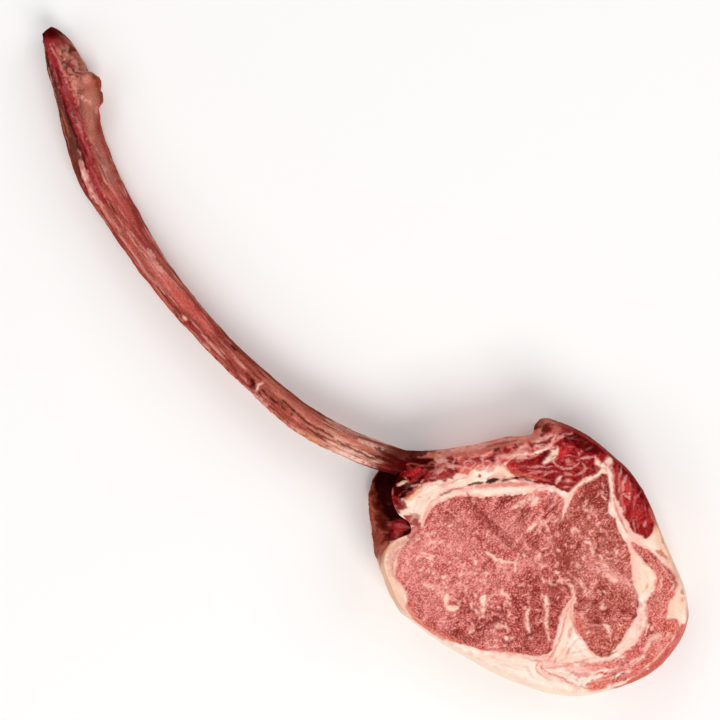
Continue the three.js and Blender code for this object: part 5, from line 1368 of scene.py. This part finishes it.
def flesh_sheet(name, palette, fleck, grit, depth, coat):
    """Flesh: the painted tone, broken up by pale flecks, partly painted glints, and dark gaps of painted
    shade where it is lean, wet and slightly see-through, with a fine grain in its relief."""
    sheet = Sheet(name)
    where = sheet.node("ShaderNodeTexCoord", {}, {}, "Object")
    tone = sheet.node("ShaderNodeAttribute", {"attribute_name": "tone"}, {}, "Color")
    fat = sheet.node("ShaderNodeAttribute", {"attribute_name": "fat"}, {}, "Fac")
    wet = sheet.node("ShaderNodeAttribute", {"attribute_name": "wet"}, {}, "Fac")
    red = sheet.node("ShaderNodeSeparateColor", {}, {"Color": tone}, "Red")
    combing = {"Vector": where, "Rotation": (0, 0, 0.3), "Scale": (1.9, 0.65, 1)}
    combed = sheet.node("ShaderNodeMapping", {}, combing)
    one, two = (
        sheet.grain(sheet.stretched(where, turn, (1.6, 0.66, 1)), 1500.0, 2.0, 0.6)
        for turn in (0.3, 1.7)
    )
    patches = sheet.grain(where, 110.0, 1.0, 0.5).between(0.46, 0.54)
    grains = one + (two - one) * patches
    ends = sheet.grain(combed, 980.0, 2.0, 0.6)
    nicks = sheet.grain(combed, 700.0, 2.0, 0.6)
    clumps = sheet.grain(where, 190.0, 3.0, 0.6)
    lean = (1 - fat).between(0.0, 0.6) * red.between(0.12, 0.6)
    # pale flecks: the fibre ends' own paleness, and painted glints on the wet surface
    pale = grains.between(0.5, 0.6) * (clumps * 1.3) + ends.between(0.54, 0.62) * 0.4
    colour = sheet.blend(pale * lean * fleck, tone, (*palette["fleck"], 1))
    dark = (1 - grains).between(0.49, 0.59) * (1.15 - clumps) + nicks.between(0.54, 0.66) * 0.4
    colour = sheet.blend(dark * (1 - 0.85 * fat) * grit, colour, (*DARKENING, 1), "MULTIPLY")
    mottle = fat * fat * clumps.between(0.42, 0.66)
    colour = sheet.blend(mottle * grains.between(0.4, 0.6) * 0.4, colour, (*palette["suet"], 1))
    sheet.feed(sheet.shader.inputs["Base Color"], colour)
    sheet.feed(sheet.shader.inputs["Roughness"], 0.42 + 0.3 * grains - 0.14 * wet + 0.06 * fat)
    glints = wet * clumps.between(0.5, 0.66) * red.between(0.05, 0.5) * coat
    sheet.feed(sheet.shader.inputs["Coat Weight"], glints)
    height = grains * (0.2 + lean * 0.4) + ends * 0.4 + clumps * 0.5
    relief = {"Strength": 0.55, "Distance": depth * MM, "Height": height}
    sheet.feed(sheet.shader.inputs["Normal"], sheet.node("ShaderNodeBump", {}, relief, "Normal"))
    sheet.set(subsurface_weight=0.06, subsurface_radius=(1.0, 0.35, 0.2), subsurface_scale=0.0012)
    sheet.set(specular_ior_level=0.0, coat_roughness=0.18, coat_ior=1.4)
    return sheet.material


# ---- Making pieces -----------------------------------------------------------------


SHARP_EDGE = math.radians(65)


def add_piece(name, points, faces, tone, fat, wet, second, materials, slot, node):
    """A mesh piece at the origin from points in millimetres and triangles, with its attributes and
    one or two materials, riding on the one body and standing for its node."""
    mesh = bpy.data.meshes.new(name)
    mesh.vertices.add(len(points))
    mesh.vertices.foreach_set("co", (points * MM).astype(np.float32).ravel())
    mesh.loops.add(faces.size)
    mesh.loops.foreach_set("vertex_index", faces.astype(np.int32).ravel())
    mesh.polygons.add(len(faces))
    mesh.polygons.foreach_set("loop_start", np.arange(0, faces.size, 3, dtype=np.int32))
    mesh.update(calc_edges=True)
    if mesh.validate():
        raise RuntimeError(f"{name} has faulty faces")
    colour = np.column_stack([np.clip(tone, 0, 1), np.ones(len(points))]).astype(np.float32)
    mesh.attributes.new("tone", "FLOAT_COLOR", "POINT").data.foreach_set("color", colour.ravel())
    for key, values in (("fat", fat), ("wet", wet)):
        values = np.clip(values, 0, 1).astype(np.float32)
        mesh.attributes.new(key, "FLOAT", "POINT").data.foreach_set("value", values)
    mesh.shade_smooth()
    mesh.set_sharp_from_angle(angle=SHARP_EDGE)
    for material in materials:
        mesh.materials.append(material)
    if len(materials) > 1:
        mesh.polygons.foreach_set("material_index", second.astype(np.int32))
    piece = bpy.data.objects.new(name, mesh)
    bpy.context.scene.collection.objects.link(piece)
    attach(piece, "root")
    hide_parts(node)


def current():
    """The sizes in millimetres, and the colours, as they are set now."""
    group, colours = bpy.context.scene.steak_sizes, bpy.context.scene.steak_colours
    sizes = {name: getattr(group, name) for name in SteakSizes.__annotations__}
    sizes = {name: round(v / MM, 4) if isinstance(v, float) else v for name, v in sizes.items()}
    palette = {name: tuple(getattr(colours, name)) for name in SteakColours.__annotations__}
    return SimpleNamespace(**sizes), palette


WORK = {}  # what the operators share: the slab's maps and the materials


def slab_and_flesh():
    """The slab and the flesh materials, worked out once for all the operators in a row."""
    if not WORK:
        sizes, palette = current()
        WORK["slab"] = Slab(sizes, palette)
        WORK["lean"] = flesh_sheet("cut_lean", palette, 1.0, 1.0, 0.22, 0.6)
        WORK["red"] = flesh_sheet("wet_red_meat", palette, 0.25, 0.7, 0.3, 0.7)
        WORK["fat"] = flesh_sheet("cut_fat", palette, 0.25, 0.8, 0.18, 0.4)
        WORK["wall"] = flesh_sheet("dull_wall", palette, 0.25, 0.6, 0.3, 0.0)
        WORK["rib"] = flesh_sheet("rib_skin", palette, 0.25, 0.45, 0.3, 0.12)
    return WORK["slab"]


# Rings of the walls, as shares of the fall to the foot: for the muscles, and for the outer wall.
INNER_LEVELS = (0.02, *np.linspace(0, 1, 11)[1:-1], 0.98)
OUTER_LEVELS = tuple(np.linspace(0, 1, 34)[1:-1] ** 1.15)
MUSCLE_LOOKS = {  # material and slot
    "eye_muscle": ("lean", "lean_meat"),
    "side_muscle": ("lean", "lean_meat"),
    "cap_muscle": ("lean", "marbled_cap"),
    "upper_cap_muscle": ("red", "dark_meat"),
    "chine_muscle": ("red", "dark_meat"),
    "costal_meat": ("red", "marbled_cap"),
}


class STEAK_OT_muscles(bpy.types.Operator):
    """Cut muscles, each running from the face on show to the one below."""

    bl_idname = "steak.muscles"
    bl_label = "Muscles"

    def execute(self, context):
        WORK.clear()
        slab = slab_and_flesh()
        for node, (look, slot) in MUSCLE_LOOKS.items():
            parts = slab.piece(slab.depth[node], INNER_LEVELS)
            add_piece(node + "_flesh", *parts, [WORK[look]], slot, node)
        return {"FINISHED"}


class STEAK_OT_fat(bpy.types.Operator):
    """Fat between and around the muscles, with the slab's outer wall."""

    bl_idname = "steak.fat"
    bl_label = "Fat"

    def execute(self, context):
        slab = slab_and_flesh()
        nearest = np.max(list(slab.depth.values()), axis=0)
        parts = slab.piece(np.minimum(slab.edge, -nearest), OUTER_LEVELS)
        add_piece("fat_body_flesh", *parts, [WORK["fat"], WORK["wall"]], "fat", "fat_body")
        return {"FINISHED"}


RIB_LENGTH = 330.0
RIB_RADIUS = 13.0  # turns an angle round the rib into a length
RIB_SQUARENESS = 2.5  # of its section: 2 is an ellipse
RIB_END = 0.4  # how far the middles of both ends stand out
# Lumps on the rib: middle and reach along x, how flat-topped, middle and reach of the angle round
# it in degrees, and height.
FLAP = (-202, 7.8, 8, 16, 25, 7.6)
FLAP_TAIL = (-189.6, 4.6, 4, 16, 22, 2.4)
SCRAP = (4, 22, 2, 200, 34, 1.6)


def lump(x, angle, middle, reach, flatness, turn, spread, height):
    """A lump on a tube: one bell curve along x times another round it."""
    away = (np.degrees(angle) - turn + 180) % 360 - 180
    return height * np.exp(-(((x - middle) / reach) ** flatness)) * np.exp(-((away / spread) ** 2))


def tube_faces(count, n):
    """Triangles of a tube of rings of n points, and of fans from its ends to two points more."""
    ring = np.arange(count - 1)[:, None] * n
    j = np.arange(n)
    k = (j + 1) % n
    a, b, c, d = ((ring + step).ravel() for step in (j, n + j, n + k, k))
    last = (count - 1) * n
    fans = [(np.full(n, count * n), k, j), (np.full(n, count * n + 1), last + j, last + k)]
    return np.vstack([np.column_stack(corners) for corners in ((a, c, b), (a, d, c), *fans)])


def paint_rib(flat, run, girth, s, palette):
    """The rib's colours over its points: streaks along it by stretched noise, then the paler part near the
    meat, painted shade where its top turns down to the sides, crumbs along its lower edge, pits by the flap,
    and the strokes."""
    x, y = flat[:, 0], flat[:, 1]
    paint = Paint(x, y, "bone", palette)
    paint.wet[:] = 0.4
    bend = 1.5 * rough(run, girth, 14, 620)

    def streaks(stretch, spacing, seed, layers=3, bend=bend):
        return rough(run / stretch, girth + bend, spacing, seed, layers)

    def specks(stretch, spacing, seed):
        return streaks(stretch, spacing, seed, 2, 0)

    top = smooth(-0.15, 0.25, s)
    near_meat = smooth(8, 30, x) * (1 - smooth(50, 58, x))
    calm = smooth(-140, -120, x) * (1 - smooth(-50, -30, x))
    turned_away_shade = (1 - smooth(0.25, 0.8, s)) * top * (1 - 0.6 * near_meat)
    crumbs = smooth(-100, -80, x) * (1 - smooth(26, 32, x)) * smooth(28.5, 33, girth)
    pitted = smooth(-226, -220, x) * (1 - smooth(-203, -196, x)) * (1 - smooth(9, 13, girth))
    joining = smooth(47, 60, x + 7 * specks(3, 2.4, 651))
    broken = 1 - 0.85 * (1 - smooth(0.3, 0.65, s)) * smooth(-0.25, 0.2, specks(2, 3, 659))
    tip = 1 - smooth(-234.5, -227.5, x - 0.5 * (y - 15))

    paint.lay(0.9 * near_meat * smooth(-0.6, 0.1, streaks(5, 5, 635)), "husk")
    paint.lay(0.6 * smooth(0.0, 0.5, streaks(7, 3.4, 621)), "membrane")
    paint.lay(0.65 * smooth(0.1, 0.5, streaks(9, 1.6, 623, 2)), "pink")
    paint.lay(0.6 * near_meat * smooth(0.1, 0.45, streaks(6, 2.2, 639, 2)), "marble")
    paint.lay((0.95 - 0.5 * calm) * smooth(0.08, 0.42, streaks(8, 1.7, 625, 2)), "umber")
    paint.lay((0.6 - 0.5 * near_meat) * smooth(0.0, 0.5, streaks(3, 6, 627)), "wine", None, 0.6)
    paint.lay(0.45 * smooth(0.2, 0.6, specks(2, 2.2, 633)), "blush")
    paint.lay(0.4 * (1 - top) * smooth(0, 0.6, streaks(2, 4, 629, 3, 0)), "rust")
    paint.lay(0.45 * (1 - top) * smooth(0.1, 0.6, streaks(2, 5, 631, 3, 0)), "pink", 0.6)
    # painted shade: umber where the top turns down towards the sides
    paint.lay(0.7 * turned_away_shade * smooth(-0.5, 0.3, streaks(4, 4, 637, 3, 0)), "umber")
    paint.lay(0.8 * crumbs * smooth(-0.25, 0.2, specks(1.6, 2.6, 641)), "rust")
    paint.lay(0.75 * crumbs * smooth(0.1, 0.45, specks(1.3, 1.8, 643)), "gold")
    paint.lay(0.6 * crumbs * smooth(0.1, 0.45, -specks(1.3, 2.0, 645)), "maroon")
    paint.lay(0.3 * pitted, "husk")
    paint.lay(0.85 * joining, "maroon", None, 0.6)
    paint.clouds(RIB_CLOUDS, top)
    paint.strokes(RIB_STROKES, where=top * broken)
    paint.lay(0.75 * pitted * smooth(0.02, 0.3, specks(1.4, 2.2, 647)), "maroon", None, 0.7)
    paint.lay(0.35 * pitted * smooth(0.1, 0.4, -specks(1.4, 1.8, 649)), "pink")
    paint.lay(0.6 * crumbs * smooth(0.1, 0.4, specks(1.3, 1.6, 653)), "rust")
    paint.lay(0.5 * crumbs * smooth(0.15, 0.4, specks(1.5, 1.3, 657)), "pink")
    paint.lay(0.45 * crumbs * smooth(0.15, 0.5, -specks(1.3, 1.4, 655)), "umber")
    paint.lay(0.9 * tip, "maroon", 0.1, 0.6)
    return paint


def rib_surface(sizes, palette):
    """The rib: an upright rounded-box section carried along its middle line, leaning and swelling
    as it goes, with ridges along it, a flap, a scrap, grooves by strokes, and closed ends."""
    count = int(RIB_LENGTH / sizes.rib_step)
    rows = np.array(RIB_LINE)
    centre = smooth_curve(rows[:, :3], count, closed=False)
    place = np.linspace(0, len(rows) - 1, count)
    wide, tall, lean = (np.interp(place, range(len(rows)), rows[:, k])[:, None] for k in (3, 4, 5))
    along = np.gradient(centre, axis=0)
    along /= np.linalg.norm(along, axis=1, keepdims=True)
    side = np.column_stack([-along[:, 1], along[:, 0], np.zeros(count)])
    side /= np.linalg.norm(side, axis=1, keepdims=True)
    up = np.cross(along, side)
    angle = np.linspace(0, 2 * np.pi, sizes.rib_sides, endpoint=False)[None, :]
    c, s = np.cos(angle), np.sin(angle)
    x = centre[:, :1] + 0 * angle
    run = np.cumsum(np.linalg.norm(np.gradient(centre, axis=0), axis=1))[:, None] + 0 * angle
    girth = RIB_RADIUS * angle + 0 * x
    girth = np.where(girth < RIB_RADIUS * np.pi, girth, 2 * RIB_RADIUS * np.pi - girth)
    ridge = 0.7 * np.cos(3 * angle + x / 46)
    flap = lump(x, angle, *FLAP) * (1 + 0.22 * rough(x, 12 * s, 3.4, 601))
    flap = flap + lump(x, angle, *FLAP_TAIL)
    scrap = lump(x, angle, *SCRAP)
    fibres = 0.6 * rough(run / 9, girth, 3, 611, 2) + 0.3 * rough(run / 5, girth, 1.3, 613, 2)
    lumps = 0.35 * rough(run, girth, 8, 615)
    torn = 0.5 * smooth(-0.2, 0.6, -s) * rough(run / 2, girth, 3, 617)
    proud = ridge + flap + scrap + fibres + lumps + torn
    power = 2 / RIB_SQUARENESS
    across = np.sign(c) * np.abs(c) ** power * wide + c * proud
    upwards = np.sign(s) * np.abs(s) ** power * tall + s * (0.5 * ridge + fibres + lumps)
    across = across * (1 - np.abs(lean * s)) + lean * upwards
    flat = centre[:, None] + side[:, None] * across[..., None] + up[:, None] * upwards[..., None]
    flat = flat.reshape(-1, 3)
    paint = paint_rib(flat, run.ravel(), girth.ravel(), (s + 0 * x).ravel(), palette)
    out = (side[:, None] * c[..., None] + up[:, None] * s[..., None]).reshape(-1, 3)
    ends = [centre[0] - RIB_END * along[0], centre[-1] + RIB_END * along[-1]]
    flat = np.vstack([flat + out * paint.relief[:, None], ends])
    faces = tube_faces(count, sizes.rib_sides)
    p, q, r = (flat[corner] for corner in faces.T)
    if (np.cross(q - p, r - p) * p).sum() < 0:
        faces = faces[:, ::-1]
    capped = [*range(len(flat) - 2), 0, -1]
    return flat, faces, paint.tone[capped], paint.fat[capped], paint.wet[capped], None


class STEAK_OT_rib(bpy.types.Operator):
    """Long curved rib with its dried skin, torn flap and scraps of fat."""

    bl_idname = "steak.rib"
    bl_label = "Rib"

    def execute(self, context):
        slab_and_flesh()
        parts = rib_surface(*current())
        add_piece("rib_bone_skin", *parts, [WORK["rib"]], "rib", "rib_bone")
        return {"FINISHED"}


# ---- The stage ---------------------------------------------------------------------


LAMP_DISTANCE = 3.0  # metres
FLOOR_HALF = 4.0  # metres
FLOOR_LEVEL = -0.0002  # metres, so that it doesn't coincide with the underside
LAMPS = [  # name, azimuth and elevation in degrees, share of the light on the floor, size, colour
    ("key", -20, 50, 0.38, 1.5, (1.0, 0.985, 0.965)),
    ("fill_far", 70, 46, 0.14, 2.0, (1.0, 1.0, 1.0)),
    ("fill_left", 160, 46, 0.15, 2.0, (1.0, 1.0, 1.0)),
    ("fill_near", 250, 46, 0.14, 2.0, (1.0, 1.0, 1.0)),
]
WORLD_LIGHT = 0.32


def area_light(name, azimuth, elevation, share, size, colour):
    """A square lamp that faces the steak. Its power gives that share of full light on the floor,
    where light is power times the sine of the elevation over (pi times distance) squared."""
    a, e = math.radians(azimuth), math.radians(elevation)
    lamp = bpy.data.lights.new(name, "AREA")
    lamp.size, lamp.color = size, colour
    lamp.energy = share * (math.pi * LAMP_DISTANCE) ** 2 / math.sin(e)
    holder = bpy.data.objects.new(name, lamp)
    holder.location = (
        VIEW_CENTRE[0] * MM + LAMP_DISTANCE * math.cos(a) * math.cos(e),
        VIEW_CENTRE[1] * MM + LAMP_DISTANCE * math.sin(a) * math.cos(e),
        LAMP_DISTANCE * math.sin(e),
    )
    holder.rotation_euler = (math.pi / 2 - e, 0, a + math.pi / 2)
    bpy.context.scene.collection.objects.link(holder)


class STEAK_OT_stage(bpy.types.Operator):
    """Pale floor, soft light and the camera straight above."""

    bl_idname = "steak.stage"
    bl_label = "Stage"

    def execute(self, context):
        _, palette = current()
        mesh = bpy.data.meshes.new("floor")
        square = ((-1, -1), (1, -1), (1, 1), (-1, 1))
        corners = [(FLOOR_HALF * x, FLOOR_HALF * y, FLOOR_LEVEL) for x, y in square]
        mesh.from_pydata(corners, [], [(0, 1, 2, 3)])
        sheet = Sheet("pale_floor")
        sheet.set(base_color=(*palette["floor"], 1), roughness=0.8)
        mesh.materials.append(sheet.material)
        floor = bpy.data.objects.new("floor", mesh)
        context.scene.collection.objects.link(floor)
        for lamp in LAMPS:
            area_light(*lamp)
        world = bpy.data.worlds.new("studio")
        world.use_nodes = True
        world.node_tree.nodes["Background"].inputs["Color"].default_value = (1, 1, 1, 1)
        world.node_tree.nodes["Background"].inputs["Strength"].default_value = WORLD_LIGHT
        context.scene.world = world
        camera = bpy.data.cameras.new("camera")
        camera.sensor_width = SENSOR
        camera.lens = SENSOR * FACE_DISTANCE / (PHOTO_PIXELS * MM_PER_PIXEL)
        eye = bpy.data.objects.new("camera", camera)
        eye.location = (VIEW_CENTRE[0] * MM, VIEW_CENTRE[1] * MM, CAMERA_HEIGHT * MM)
        eye.rotation_euler = (0, 0, math.radians(45))
        context.scene.collection.objects.link(eye)
        context.scene.camera = eye
        context.scene.view_settings.view_transform = "Standard"
        return {"FINISHED"}


class STEAK_PT_panel(bpy.types.Panel):
    """Lists the steps that build the steak, with its sizes and colours."""

    bl_label = "Raw Tomahawk Steak"
    bl_idname = "STEAK_PT_panel"
    bl_space_type = "VIEW_3D"
    bl_region_type = "UI"
    bl_category = "Steak"

    def draw(self, context):
        layout = self.layout
        for step in STEPS:
            layout.operator(step.bl_idname)
        for group in (context.scene.steak_sizes, context.scene.steak_colours):
            for name in group.__annotations__:
                layout.prop(group, name)


STEPS = (STEAK_OT_muscles, STEAK_OT_fat, STEAK_OT_rib, STEAK_OT_stage)
CLASSES = (SteakSizes, SteakColours, *STEPS, STEAK_PT_panel)


def register():
    """Adds the classes and the two groups of properties."""
    for kind in CLASSES:
        bpy.utils.register_class(kind)
    bpy.types.Scene.steak_sizes = PointerProperty(type=SteakSizes)
    bpy.types.Scene.steak_colours = PointerProperty(type=SteakColours)


def unregister():
    """Takes them away again."""
    del bpy.types.Scene.steak_sizes
    del bpy.types.Scene.steak_colours
    for kind in reversed(CLASSES):
        bpy.utils.unregister_class(kind)


def main():
    """Builds every piece and the stage."""
    register()
    for step in STEPS:
        group, name = step.bl_idname.split(".")
        getattr(getattr(bpy.ops, group), name)()


if __name__ == "__main__":
    main()
